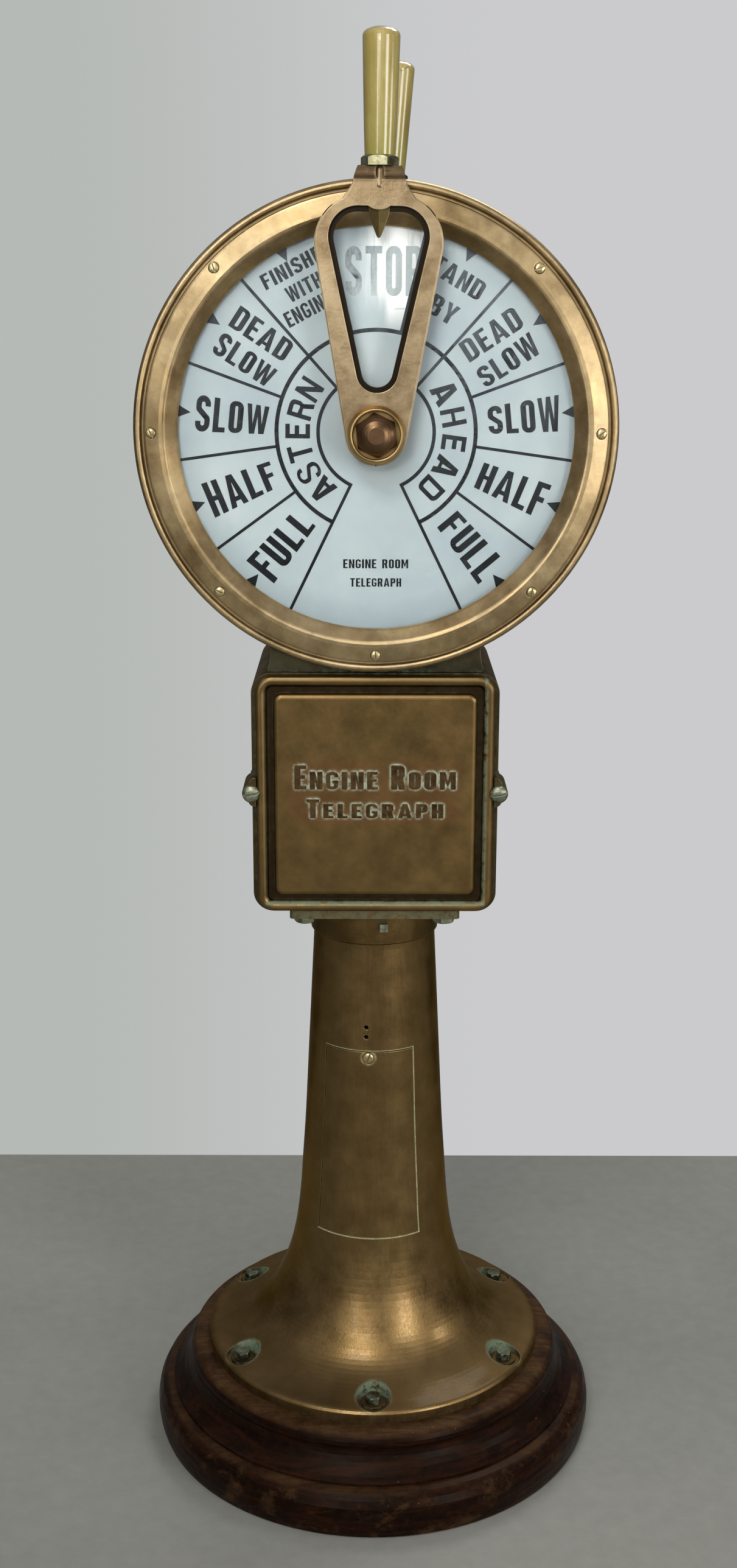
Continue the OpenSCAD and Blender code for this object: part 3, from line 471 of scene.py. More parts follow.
def word_outlines(word, gap=0.105):
    """Outlines of a word one unit high, starting at x = 0, and its width."""
    x, out = 0.0, []
    for i, c in enumerate(word):
        w, shapes = glyph(c)
        if i:
            x += gap
            if (word[i - 1] + c) in ("AY", "LT", "LY", "TA", "AT"):
                x -= 0.05
        out += [[(px + x, py) for px, py in s] for s in shapes]
        x += w
    return out, x


def fill_outlines(name, outlines, thick):
    """Flat mesh of filled outlines with holes, given a thickness in metres. Returns an object with x, y in outline units."""
    cu = bpy.data.curves.new(name, "CURVE")
    cu.dimensions = "2D"
    cu.fill_mode = "BOTH"
    cu.resolution_u = 1
    cu.extrude = thick / 2
    for pts in outlines:
        sp = cu.splines.new("POLY")
        sp.points.add(len(pts) - 1)
        for q, (px, py) in zip(sp.points, pts):
            q.co = (px, py, 0, 1)
        sp.use_cyclic_u = True
    tmp = bpy.data.objects.new(name, cu)
    bpy.context.scene.collection.objects.link(tmp)
    bpy.context.view_layer.update()
    me = bpy.data.meshes.new_from_object(tmp.evaluated_get(bpy.context.evaluated_depsgraph_get()))
    bpy.data.objects.remove(tmp)
    bpy.data.curves.remove(cu)
    bm = bmesh.new()
    bm.from_mesh(me)
    bmesh.ops.remove_doubles(bm, verts=bm.verts, dist=1e-6)
    bmesh.ops.recalc_face_normals(bm, faces=bm.faces)
    bm.to_mesh(me)
    bm.free()
    me.name = name
    o = bpy.data.objects.new(name, me)
    bpy.context.scene.collection.objects.link(o)
    return o


def place(o, fn):
    """Moves each vertex by fn(x, y, z) -> row-frame vector."""
    for v in o.data.vertices:
        v.co = fn(v.co.x, v.co.y, v.co.z)
    bm = bmesh.new()
    bm.from_mesh(o.data)
    bmesh.ops.recalc_face_normals(bm, faces=bm.faces)
    bm.to_mesh(o.data)
    bm.free()
    o.data.update()
    return o


def join(name, objs, mat):
    bm = bmesh.new()
    for o in objs:
        bm.from_mesh(o.data)
    me = bpy.data.meshes.new(name)
    bm.to_mesh(me)
    bm.free()
    for o in objs:
        old = o.data
        bpy.data.objects.remove(o)
        bpy.data.meshes.remove(old)
    me.materials.append(mat)
    o = bpy.data.objects.new(name, me)
    bpy.context.scene.collection.objects.link(o)
    return o


# ------------------------------------------------------------------ materials
def lever_ledge(sign, lean):
    """The window's inner step and walls, painted near black: found from the window's outline in the lever's own upright
    frame.
    """
    def mask(t):
        sep = t.nt.nodes.new("ShaderNodeSeparateXYZ")
        t.link(t.co(), sep.inputs[0])
        x, y, z = sep.outputs[0], sep.outputs[1], t.math("SUBTRACT", sep.outputs[2], HUB)
        c, sn = math.cos(math.radians(lean)), math.sin(math.radians(lean))
        u = t.math("ADD", t.math("MULTIPLY", z, c), t.math("MULTIPLY", x, sn))
        v = t.math("SUBTRACT", t.math("MULTIPLY", x, c), t.math("MULTIPLY", z, sn))
        w = t.math("MULTIPLY", y, sign)
        side = t.math("SUBTRACT", t.math("MULTIPLY", t.math("ABSOLUTE", v), 0.9753), t.math("MULTIPLY", u, 0.2205))
        inside = t.span(side, 0.00590, 0.00575)
        below = t.span(u, 0.16930, 0.16900)
        deep = t.span(w, 0.1066, 0.1063)
        return t.math("MULTIPLY", t.math("MULTIPLY", inside, below), deep)
    return mask


def pocket_mint(t):
    """Verdigris on the inner walls and rims of the six bolt pockets in the pedestal's foot, heaviest on the side towards the column."""
    sep = t.nt.nodes.new("ShaderNodeSeparateXYZ")
    t.link(t.co(), sep.inputs[0])
    x, y, z = sep.outputs
    rad = t.math("SQRT", t.math("ADD", t.math("MULTIPLY", x, x), t.math("MULTIPLY", y, y)))
    az = t.math("ARCTAN2", x, t.math("MULTIPLY", y, -1.0))
    sixth = math.radians(60)
    off = t.math("SUBTRACT", az, t.math("MULTIPLY", t.math("ROUND", t.math("DIVIDE", az, sixth)), sixth))
    a = t.math("MULTIPLY", rad, t.math("SINE", off))
    b = t.math("SUBTRACT", t.math("MULTIPLY", rad, t.math("COSINE", off)), 0.137)
    d = t.math("SQRT", t.math("ADD", t.math("MULTIPLY", a, a), t.math("MULTIPLY", b, b)))
    ring = t.math("MULTIPLY", t.span(d, 0.0120, 0.0146), t.span(d, 0.0176, 0.0156))
    inner = t.span(b, 0.009, -0.006, 0.12, 1.0)
    return t.math("MULTIPLY", t.math("MULTIPLY", ring, inner), t.span(z, 0.150, 0.140))


def plate_crust(t):
    """The square plate above the sleeve is green with age, the sleeve itself is not."""
    sep = t.nt.nodes.new("ShaderNodeSeparateXYZ")
    t.link(t.co(), sep.inputs[0])
    return t.math("MULTIPLY", t.span(sep.outputs[2], 0.5118, 0.5130), 0.42)


DOOR_AZ, DOOR_HALF, DOOR_Z0, DOOR_Z1 = math.radians(-5), math.radians(41.5), 0.210, 0.386


def door_seam(t):
    """Old polish caked along the pedestal door's top, right and lower edges and round its screw."""
    sep = t.nt.nodes.new("ShaderNodeSeparateXYZ")
    t.link(t.co(), sep.inputs[0])
    x, y, z = sep.outputs
    az = t.math("SUBTRACT", t.math("ARCTAN2", x, t.math("MULTIPLY", y, -1.0)), DOOR_AZ)
    rad = t.math("SQRT", t.math("ADD", t.math("MULTIPLY", x, x), t.math("MULTIPLY", y, y)))
    dz0 = t.math("ABSOLUTE", t.math("SUBTRACT", z, DOOR_Z0 + 0.0004))
    dz1 = t.math("ABSOLUTE", t.math("SUBTRACT", z, DOOR_Z1 - 0.0003))
    across = t.span(t.math("ABSOLUTE", az), DOOR_HALF + 0.010, DOOR_HALF - 0.004)
    ends = t.math("MULTIPLY", t.math("MAXIMUM", t.span(dz0, 0.00075, 0.0005), t.span(dz1, 0.00075, 0.0005)), across)
    ds = t.math("MULTIPLY", t.math("ABSOLUTE", t.math("SUBTRACT", az, DOOR_HALF - 0.0065)), rad)
    tall = t.math("MULTIPLY", t.span(z, DOOR_Z0 - 0.0008, DOOR_Z0), t.span(z, DOOR_Z1 + 0.0008, DOOR_Z1))
    side = t.math("MULTIPLY", t.span(ds, 0.00075, 0.0005), tall)
    line = t.math("MAXIMUM", ends, side)
    sx = t.math("MULTIPLY", az, rad)
    sz = t.math("SUBTRACT", z, 0.3795)
    d = t.math("SQRT", t.math("ADD", t.math("MULTIPLY", sx, sx), t.math("MULTIPLY", sz, sz)))
    halo = t.math("MULTIPLY", t.math("MULTIPLY", t.span(d, 0.0078, 0.0064), t.span(d, 0.0048, 0.0056)), t.span(t.noise(150, 4, 0.6, vec=t.scaled((1, 1, 1), (2, 2, 8))), 0.36, 0.56, 0.1, 0.7))
    # only on the outer face: the walls of the opening stay bare when the door is out
    g = t.nt.nodes.new("ShaderNodeNewGeometry")
    sn = t.nt.nodes.new("ShaderNodeSeparateXYZ")
    t.link(g.outputs["Normal"], sn.inputs[0])
    out = t.math("DIVIDE", t.math("ADD", t.math("MULTIPLY", sn.outputs[0], x), t.math("MULTIPLY", sn.outputs[1], y)), rad)
    body = t.math("MULTIPLY", t.span(rad, 0.0515, 0.0525), t.span(out, 0.25, 0.55))
    return t.math("MULTIPLY", t.math("MULTIPLY", t.math("MAXIMUM", line, halo), body), t.span(y, 0.0, -0.002))


def lever_head(lean):
    """The block that carries the handle: its sloping face is painted dark brown, partly as tarnish and partly as
    painted shade, but for the rib down its middle.
    """
    def mask(t):
        sep = t.nt.nodes.new("ShaderNodeSeparateXYZ")
        t.link(t.co(), sep.inputs[0])
        x, z = sep.outputs[0], t.math("SUBTRACT", sep.outputs[2], HUB)
        c, sn = math.cos(math.radians(lean)), math.sin(math.radians(lean))
        u = t.math("ADD", t.math("MULTIPLY", z, c), t.math("MULTIPLY", x, sn))
        v = t.math("SUBTRACT", t.math("MULTIPLY", x, c), t.math("MULTIPLY", z, sn))
        rib = t.span(t.math("ABSOLUTE", v), 0.0030, 0.0048, 0.25, 1.0)
        return t.math("MULTIPLY", t.span(u, 0.1852, 0.1888), rib)
    return mask


def cover_crust(t):
    """Verdigris left by polish on the inner wall of the cover's rim, most along the bottom and on the right."""
    sep = t.nt.nodes.new("ShaderNodeSeparateXYZ")
    t.link(t.co(), sep.inputs[0])
    x, y, z = sep.outputs
    dx, dz = t.math("ABSOLUTE", x), t.math("ABSOLUTE", t.math("SUBTRACT", z, 0.6265))
    bx = t.math("MULTIPLY", t.span(dx, 0.0888, 0.0898), t.span(dx, 0.0930, 0.0915))
    bz = t.math("MULTIPLY", t.span(dz, 0.0938, 0.0948), t.span(dz, 0.0980, 0.0965))
    bx = t.math("MULTIPLY", bx, t.span(x, -0.02, 0.06, 0.15, 0.75))
    bz = t.math("MULTIPLY", bz, t.span(z, 0.64, 0.55, 0.10, 0.8))
    edge = t.math("MAXIMUM", t.math("MULTIPLY", bx, t.span(dz, 0.0980, 0.0960)), t.math("MULTIPLY", bz, t.span(dx, 0.0930, 0.0910)))
    return t.math("MULTIPLY", edge, t.span(y, -0.0780, -0.0795))


def cover_groove(t):
    """The channel between the cover's rolled rim and its raised panel."""
    sep = t.nt.nodes.new("ShaderNodeSeparateXYZ")
    t.link(t.co(), sep.inputs[0])
    x, y, z = sep.outputs
    inner = t.math("MULTIPLY", t.span(t.math("ABSOLUTE", x), 0.0910, 0.0895), t.span(t.math("ABSOLUTE", t.math("SUBTRACT", z, 0.6265)), 0.0960, 0.0945))
    return t.math("MULTIPLY", inner, t.span(y, -0.0838, -0.0800))


def cover_text(t):
    """Where the cover's raised words stand: 1 inside their band."""
    sep = t.nt.nodes.new("ShaderNodeSeparateXYZ")
    t.link(t.co(), sep.inputs[0])
    x, y, z = sep.outputs
    across = t.span(t.math("ABSOLUTE", x), 0.074, 0.068)
    up = t.math("MULTIPLY", t.span(z, 0.598, 0.603), t.span(z, 0.658, 0.653))
    return t.math("MULTIPLY", t.math("MULTIPLY", across, up), t.span(y, -0.0838, -0.0842))


POLISHED = bronze("bronze_polished", srgb(206, 186, 150), srgb(158, 134, 98), srgb(98, 74, 46), wear=1.1, green=0.25, rough=(0.26, 0.44), dirt=0.006, bumpy=0.9, black=lever_ledge(-1, 0.6), coat=0.15, blotch=1.15, brown=lever_head(0.6))
POLISHED_REAR = bronze("bronze_polished_rear", srgb(206, 186, 150), srgb(158, 134, 98), srgb(98, 74, 46), wear=1.1, green=0.25, rough=(0.26, 0.44), dirt=0.006, bumpy=0.9, black=lever_ledge(1, 3.6), coat=0.15, blotch=1.15, brown=lever_head(3.6))
BEZEL = bronze("bronze_bezel", srgb(220, 198, 156), srgb(176, 149, 104), srgb(90, 70, 40), wear=1.0, green=0.22, rough=(0.26, 0.42), grain="turned", dirt=0.003, bumpy=0.7, coat=0.22)
COLUMN = bronze("bronze_column", srgb(176, 146, 98), srgb(126, 101, 62), srgb(55, 40, 20), wear=0.8, green=0.45, rough=(0.23, 0.37), grain="vertical", dirt=0.014, seam=door_seam, streaks=True, blotch=0.55, mint=pocket_mint, flat_dull=True, coat=0.10, coat_rough=0.12, edge_tint=(0.62, 0.48, 0.30))
NECK = bronze("bronze_neck", srgb(150, 122, 78), srgb(108, 86, 52), srgb(50, 38, 20), wear=0.9, green=0.8, rough=(0.26, 0.40), dirt=0.012, streaks=True, mint=plate_crust)
CASE = bronze("bronze_case", srgb(108, 94, 64), srgb(80, 70, 48), srgb(38, 34, 22), wear=0.9, green=1.0, rough=(0.30, 0.48), grain="cast", dirt=0.010)
COVER = bronze("bronze_cover", srgb(164, 134, 86), srgb(134, 108, 66), srgb(58, 43, 24), wear=0.6, green=0.5, rough=(0.26, 0.40), grain="cast", dirt=0.007, text=cover_text, coat=0.10, groove=cover_groove, blotch=0.42, mint=cover_crust)
SADDLE = bronze("bronze_saddle", srgb(108, 102, 76), srgb(74, 70, 54), srgb(36, 34, 26), wear=0.9, green=1.0, rough=(0.34, 0.52), grain="cast", dirt=0.012)
BROWN = bronze("bronze_brown", srgb(112, 90, 56), srgb(82, 64, 38), srgb(38, 30, 18), wear=0.7, green=0.8, rough=(0.34, 0.52), dirt=0.008)
BRIGHT = bronze("brass_bright", srgb(244, 226, 176), srgb(216, 192, 138), srgb(104, 82, 46), wear=0.8, green=0.15, rough=(0.20, 0.34), dirt=0.002, bevel=0.0003, blotch=0.7, bumpy=0.5)
COLLAR = bronze("bronze_collar", srgb(206, 176, 124), srgb(160, 130, 84), srgb(72, 54, 30), wear=0.9, green=0.1, rough=(0.26, 0.40), dirt=0.003, bevel=0.0004, blotch=0.7, bumpy=0.5)
NUT = bronze("bronze_nut", srgb(140, 112, 86), srgb(104, 78, 54), srgb(66, 44, 28), wear=0.9, green=0.1, rough=(0.24, 0.38), dirt=0.006, blotch=0.9, bumpy=0.6)
LINER = bronze("bronze_liner", srgb(84, 62, 36), srgb(60, 43, 24), srgb(26, 18, 10), wear=0.2, green=0.25, rough=(0.45, 0.62), dirt=0.005)


def steel(name, base, dark, green=0.4, rough=(0.30, 0.5)):
    t = Tree(name)
    n1 = t.noise(60, 6, 0.65)
    n2 = t.noise(500, 4, 0.6)
    occ = t.ao(0.004)
    dirty = t.math("MULTIPLY", t.span(occ, 0.85, 0.35), t.span(n1, 0.3, 0.6, 0.5, 1.0))
    col = t.mix(t.span(n1, 0.38, 0.62), dark, base)
    col = t.mix(dirty, col, dark)
    worn = t.math("MULTIPLY", t.edge(0.0007, 0.02, 0.2), t.span(occ, 0.5, 0.9))
    col = t.mix(t.math("MULTIPLY", worn, 0.8), col, tuple(min(1, c * 1.5 + 0.05) for c in base))
    g = t.math("MULTIPLY", t.span(t.noise(180, 6, 0.7, vec=t.scaled((1, 1, 1), (2, 7, 3))), 0.47, 0.62), green)
    g = t.math("MULTIPLY", g, t.span(occ, 1.0, 0.4, 0.35, 1.0), clamp=True)
    col = t.mix(g, col, t.mix(n2, srgb(58, 82, 66), srgb(138, 160, 140)))
    r = t.math("ADD", t.mixf(n1, rough[0], rough[1]), t.math("MULTIPLY", g, 0.3), clamp=True)
    m = t.math("SUBTRACT", 1.0, t.math("MULTIPLY", g, 0.9), clamp=True)
    return t.set(color=col, metallic=m, rough=r, normal=t.bump(n2, 0.2, 0.0004, t.rounded(0.0004)))


DULL = steel("steel_dull", srgb(196, 194, 170), srgb(112, 110, 88), green=0.8)
EAR_SCREW = steel("screw_verdigris", srgb(200, 202, 178), srgb(124, 128, 104), green=1.0)
SPRING = steel("spring_steel", srgb(176, 176, 176), srgb(110, 110, 112), green=0.0, rough=(0.2, 0.35))
BOLT = steel("bolt_aged", srgb(120, 118, 96), srgb(60, 60, 44), green=1.0)
FERRULE = steel("ferrule_metal", srgb(196, 192, 158), srgb(116, 112, 82), green=0.6, rough=(0.24, 0.42))


def wood():
    t = Tree("varnished_wood")
    ring = t.scaled((1, 1, 7), (0.05, 0.02, 0.0), (0.25, 0.12, 0.0))
    grain = t.noise(13, 7, 0.62, vec=ring, distortion=1.6)
    fibre = t.noise(1.0, 4, 0.6, vec=t.scaled((26, 340, 90), rot=(0.0, 0.0, 0.35)))
    col = t.ramp(grain, [(0.30, srgb(9, 3, 1)), (0.48, srgb(22, 8, 3)), (0.60, srgb(38, 16, 6)), (0.74, srgb(15, 5, 2))])
    col = t.mix(t.span(fibre, 0.42, 0.62, 0.0, 0.35), col, srgb(18, 9, 8))
    blot = t.noise(17, 6, 0.66, vec=t.scaled((1, 1, 1.6), (4, 1, 7)))
    # varnish rubbed through where feet and mops reach; the paler strips along the upper bead's top edge and the lower
    # torus's top are partly that wear and partly a painted highlight
    sep = t.nt.nodes.new("ShaderNodeSeparateXYZ")
    t.link(t.co(), sep.inputs[0])
    z = sep.outputs[2]
    low = t.span(z, 0.030, 0.004)
    belly = t.math("MULTIPLY", t.span(z, 0.046, 0.034), t.span(z, 0.010, 0.026))
    scuff = t.span(t.noise(38, 8, 0.74, vec=t.scaled((1, 1, 1.4), (1, 6, 2))), 0.50, 0.62)
    worn = t.math("MULTIPLY", t.math("MAXIMUM", t.math("MULTIPLY", low, 0.55), t.math("MULTIPLY", belly, 0.40)), scuff, clamp=True)
    worn = t.math("MAXIMUM", worn, t.math("MULTIPLY", t.span(blot, 0.62, 0.70), 0.08))
    # painted highlight mixed with wear: paler strips on the upper bead's top edge and on the lower torus's top
    rim = t.math("MULTIPLY", t.span(z, 0.0745, 0.0785), t.span(t.noise(26, 6, 0.7, vec=t.scaled((1, 1, 1), (6, 3, 2))), 0.36, 0.60, 0.12, 0.75))
    shoulder_wear_and_sheen = t.math("MULTIPLY", t.math("MULTIPLY", t.span(z, 0.0370, 0.0395), t.span(z, 0.0425, 0.0410)), t.span(blot, 0.40, 0.60, 0.05, 0.45))
    worn = t.math("MAXIMUM", worn, t.math("MAXIMUM", rim, shoulder_wear_and_sheen))
    bare = t.ramp(fibre, [(0.3, srgb(64, 44, 26)), (0.7, srgb(96, 70, 42))])
    col = t.mix(worn, col, bare)
    dust = t.math("MULTIPLY", t.span(t.noise(120, 6, 0.7), 0.45, 0.7), 0.14)
    col = t.mix(t.math("MULTIPLY", dust, 0.3), col, srgb(96, 78, 66))
    chip = t.span(t.voronoi(95, vec=t.scaled((1, 1, 1), (3, 3, 3))), 0.07, 0.03)
    chip = t.math("MULTIPLY", chip, t.span(t.noise(9, 2, 0.5), 0.5, 0.6))
    col = t.mix(chip, col, srgb(112, 80, 56))
    r = t.math("ADD", t.span(blot, 0.35, 0.65, 0.30, 0.50), t.math("MULTIPLY", worn, 0.4), clamp=True)
    h = t.math("SUBTRACT", t.mixf(0.5, fibre, t.noise(60, 4, 0.6)), t.math("MULTIPLY", worn, 0.35))
    return t.set(color=col, rough=r, coat=0.02, coat_rough=0.22, normal=t.bump(h, 0.35, 0.0007), spec=0.085, tint=(1.0, 0.76, 0.56))


WOOD = wood()


def ivory():
    t = Tree("aged_ivory")
    streak = t.noise(1.0, 5, 0.6, vec=t.scaled((150, 150, 9)))
    cloud = t.noise(30, 5, 0.6, vec=t.scaled((1, 1, 0.5), (0.7, 2.2, 0)))
    fine = t.noise(1.0, 3, 0.6, vec=t.scaled((900, 900, 60)))
    col = t.ramp(t.mixf(0.5, streak, cloud), [(0.30, srgb(142, 126, 58)), (0.48, srgb(178, 160, 88)), (0.62, srgb(200, 184, 116)), (0.78, srgb(164, 146, 76))])
    sep = t.nt.nodes.new("ShaderNodeSeparateXYZ")
    t.link(t.co(), sep.inputs[0])
    foot = t.span(sep.outputs[2], 1.165, 1.122)
    col = t.mix(t.math("MULTIPLY", foot, 0.45), col, srgb(138, 140, 44))
    tip = t.span(sep.outputs[2], 1.185, 1.214)
    col = t.mix(t.math("MULTIPLY", tip, 0.25), col, srgb(186, 160, 92))
    crack = t.math("MULTIPLY", t.span(t.voronoi(1.0, "DISTANCE_TO_EDGE", vec=t.scaled((120, 120, 40), (5, 1, 2))), 0.018, 0.004), t.span(cloud, 0.56, 0.62))
    col = t.mix(t.math("MULTIPLY", crack, 0.7), col, srgb(58, 46, 20))
    col = t.mix(t.math("MULTIPLY", t.span(fine, 0.5, 0.75), 0.22), col, srgb(120, 100, 44))
    r = t.span(cloud, 0.3, 0.7, 0.16, 0.27)
    return t.set(color=col, rough=r, coat=1.0, coat_rough=0.10, normal=t.bump(t.mixf(0.4, streak, fine), 0.08, 0.0004), spec=0.5, sss=0.0)


IVORY = ivory()


def opal():
    """White glass dial: cooler at the edge and scratched near the top, with a painted highlight streak near the top, a
    little right of the shaft.
    """
    t = Tree("opal_glass")
    sep = t.nt.nodes.new("ShaderNodeSeparateXYZ")
    t.link(t.co(), sep.inputs[0])
    cloud = t.noise(11, 5, 0.6)
    fine = t.noise(60, 6, 0.66)
    col = t.ramp(cloud, [(0.30, srgb(150, 162, 167)), (0.55, srgb(164, 175, 177)), (0.75, srgb(173, 181, 180))])
    x, z = sep.outputs[0], t.math("SUBTRACT", sep.outputs[2], HUB)
    rad = t.math("SQRT", t.math("ADD", t.math("MULTIPLY", x, x), t.math("MULTIPLY", z, z)))
    rim = t.span(rad, 0.132, 0.157)
    col = t.mix(t.math("MULTIPLY", rim, 0.45), col, srgb(112, 122, 126))
    hub = t.span(rad, 0.046, 0.018)
    col = t.mix(t.math("MULTIPLY", hub, t.span(cloud, 0.3, 0.6, 0.3, 0.6)), col, srgb(128, 130, 120))
    # painted highlight: a white streak near the top of the dial, a little right of the shaft, standing in for a
    # reflection and broken up by streaky noise
    band = t.span(t.math("ABSOLUTE", t.math("SUBTRACT", x, 0.016)), 0.034, 0.004, smooth=True)
    top = t.math("MULTIPLY", t.span(z, 0.085, 0.118, smooth=True), band)
    streak_breakup = t.noise(1.0, 4, 0.7, vec=t.scaled((300, 10, 30)))
    streak_highlight = t.math("MULTIPLY", top, t.span(streak_breakup, 0.30, 0.60, 0.35, 1.0))
    streak_highlight_core = t.math("MULTIPLY", t.span(t.math("ABSOLUTE", t.math("SUBTRACT", x, 0.0165)), 0.0125, 0.0050, smooth=True), t.span(z, 0.070, 0.104, smooth=True))
    streak_highlight = t.math("MAXIMUM", streak_highlight, streak_highlight_core)
    col = t.mix(t.math("MULTIPLY", streak_highlight, 1.1, clamp=True), col, srgb(255, 255, 252))
    scr = t.math("MULTIPLY", t.span(t.noise(1.0, 3, 0.7, vec=t.scaled((30, 10, 420), (2, 0, 1))), 0.66, 0.74), t.span(z, 0.03, 0.11, 0.05, 0.5))
    col = t.mix(scr, col, srgb(132, 146, 150))
    spots = t.math("MULTIPLY", t.span(t.voronoi(150, vec=t.scaled((1, 1, 1), (1, 8, 3))), 0.08, 0.03), t.span(fine, 0.55, 0.65))
    col = t.mix(t.math("MULTIPLY", spots, 0.35), col, srgb(110, 118, 116))
    r = t.span(fine, 0.3, 0.7, 0.28, 0.42)
    return t.set(color=col, rough=r, spec=0.4, normal=t.bump(fine, 0.05, 0.0004))


OPAL = opal()


def paint():
    """Black fired lettering, grey and scratched towards the top of the dial."""
    t = Tree("dial_black")
    sep = t.nt.nodes.new("ShaderNodeSeparateXYZ")
    t.link(t.co(), sep.inputs[0])
    z = t.math("SUBTRACT", sep.outputs[2], HUB)
    fade = t.span(z, -0.02, 0.13, 0.10, 0.85)
    side = t.span(sep.outputs[0], -0.06, 0.05, 0.45, 1.0)
    rub = t.noise(1.0, 5, 0.7, vec=t.scaled((90, 10, 26), (3, 0, 1)))
    dots = t.noise(230, 5, 0.7)
    worn = t.math("MULTIPLY", t.math("MULTIPLY", fade, side), t.span(rub, 0.36, 0.66, 0.25, 1.0), clamp=True)
    worn = t.math("ADD", worn, t.math("MULTIPLY", t.span(dots, 0.60, 0.70), 0.25), clamp=True)
    col = t.mix(worn, srgb(5, 6, 8), srgb(98, 106, 112))
    return t.set(color=col, rough=t.mixf(worn, 0.32, 0.5), spec=0.15, normal=t.bump(dots, 0.08, 0.0003))


PAINT = paint()


def ghost():
    """The order at the top of the dial: grey at its upper left, nearly rubbed away elsewhere."""
    t = Tree("dial_worn_letters")
    sep = t.nt.nodes.new("ShaderNodeSeparateXYZ")
    t.link(t.co(), sep.inputs[0])
    x, z = sep.outputs[0], t.math("SUBTRACT", sep.outputs[2], HUB)
    rub = t.noise(1.0, 5, 0.72, vec=t.scaled((120, 10, 40), (1, 0, 4)))
    grain = t.noise(420, 3, 0.6)
    left = t.math("MULTIPLY", t.span(x, 0.016, -0.012), t.span(z, 0.104, 0.124, 0.45, 1.0))
    right = t.span(x, 0.020, 0.034, 0.0, 0.22)
    ink = t.math("MULTIPLY", t.math("MAXIMUM", t.math("MAXIMUM", left, right), 0.07), t.span(rub, 0.66, 0.34, 0.45, 1.0))
    ink = t.math("ADD", ink, t.span(grain, 0.4, 0.7, -0.08, 0.08), clamp=True)
    col = t.mix(ink, srgb(176, 186, 186), srgb(70, 76, 80))
    return t.set(color=col, rough=t.span(rub, 0.3, 0.7, 0.35, 0.5), spec=0.4)


GHOST = ghost()


def clear_glass():
    t = Tree("clear_glass")
    smear = t.noise(24, 5, 0.6)
    r = t.span(smear, 0.35, 0.75, 0.015, 0.06)
    return t.set(color=srgb(250, 252, 252), rough=r, trans=1.0, ior=1.38, normal=t.bump(t.noise(9, 2, 0.5), 0.02, 0.001))


GLASS = clear_glass()


def plain(name, a, b, rough, scale=80, bump=0.25, spec=0.4):
    t = Tree(name)
    n1, n2 = t.noise(scale, 5, 0.6), t.noise(scale * 6, 3, 0.6)
    return t.set(color=t.mix(t.span(n1, 0.35, 0.65), a, b), rough=t.span(n2, 0.3, 0.7, rough - 0.06, rough + 0.08), spec=spec, normal=t.bump(n2, bump, 0.0004))


RUBBER = plain("rubber", srgb(22, 21, 20), srgb(42, 40, 37), 0.75)
BRAID = plain("cable_braid", srgb(18, 18, 18), srgb(38, 36, 34), 0.8, 600, 0.6)
POINTER = bronze("bronze_pointer", srgb(110, 96, 60), srgb(72, 62, 38), srgb(32, 26, 15), wear=1.0, green=0.4, rough=(0.30, 0.46), dirt=0.004, bevel=0.0004)
EBONITE = plain("insulation", srgb(46, 28, 20), srgb(64, 40, 28), 0.45)

BY_NODE = {
    "plinth": WOOD, "column": COLUMN, "column_door": COLUMN, "column_collar": NECK, "case_body": CASE, "case_cover": COVER, "drum_casing": SADDLE,
    "front_bezel": BEZEL, "rear_bezel": BEZEL, "front_lever": POLISHED, "rear_lever": POLISHED_REAR, "front_pointer": POINTER, "rear_pointer": POINTER,
    "front_hub_collar": COLLAR, "rear_hub_collar": COLLAR, "front_cap_nut": NUT, "rear_cap_nut": NUT, "front_ferrule": FERRULE, "rear_ferrule": FERRULE,
    "front_grip": IVORY, "rear_grip": IVORY, "plinth_washers": BROWN, "bearing_plate": BROWN, "door_screw": BRIGHT, "cover_screws": EAR_SCREW, "collar_bolts": EAR_SCREW, "collar_set_screws": EAR_SCREW, "plinth_bolts": BOLT,
}
BY_SLOT = {"varnished_wood": WOOD, "bronze": CASE, "bronze_dark": BROWN, "brass_bright": BRIGHT, "steel_dull": DULL, "spring_steel": SPRING, "clear_glass": GLASS,
           "opal_glass": OPAL, "ivory": IVORY, "rubber": RUBBER, "cable_rubber": BRAID, "insulation": EBONITE}
slot_of = {s["node"]: s["material_slot"] for s in frame["record"]["subparts"]}
for n, o in NODES.items():
    m = BY_NODE.get(n) or BY_SLOT[slot_of[n]]
    if not o.data.materials:
        o.data.materials.append(m)
    for i in range(len(o.data.materials)):
        o.data.materials[i] = m
for n in ("front_glass", "rear_glass"):
    NODES[n].visible_shadow = False


# ------------------------------------------------------------------ dial markings
FACE_W = 80.0       # the dial glass's front surface
LINE_T = 0.08 * MM


def ring_piece(name, r0, r1, a0, a1, lift=0.0):
    """Part of a flat ring, angles clockwise from the top."""
    n = max(2, int(abs(a1 - a0) / 1.5))
    out = [(r1 * math.sin(math.radians(a0 + (a1 - a0) * i / n)), r1 * math.cos(math.radians(a0 + (a1 - a0) * i / n))) for i in range(n + 1)]
    inn = [(r0 * math.sin(math.radians(a1 + (a0 - a1) * i / n)), r0 * math.cos(math.radians(a1 + (a0 - a1) * i / n))) for i in range(n + 1)]
    return [out + inn]


def bar_piece(angle, r0, r1, w):
    a = math.radians(angle)
    u, v = (math.sin(a), math.cos(a)), (math.cos(a), -math.sin(a))
    return [[(u[0] * r + v[0] * s * w / 2, u[1] * r + v[1] * s * w / 2) for r, s in ((r0, -1), (r1, -1), (r1, 1), (r0, 1))]]


def on_dial(lift):
    return lambda x, y, z: front(x, y, FACE_W + lift + (z + LINE_T / 2) / MM)


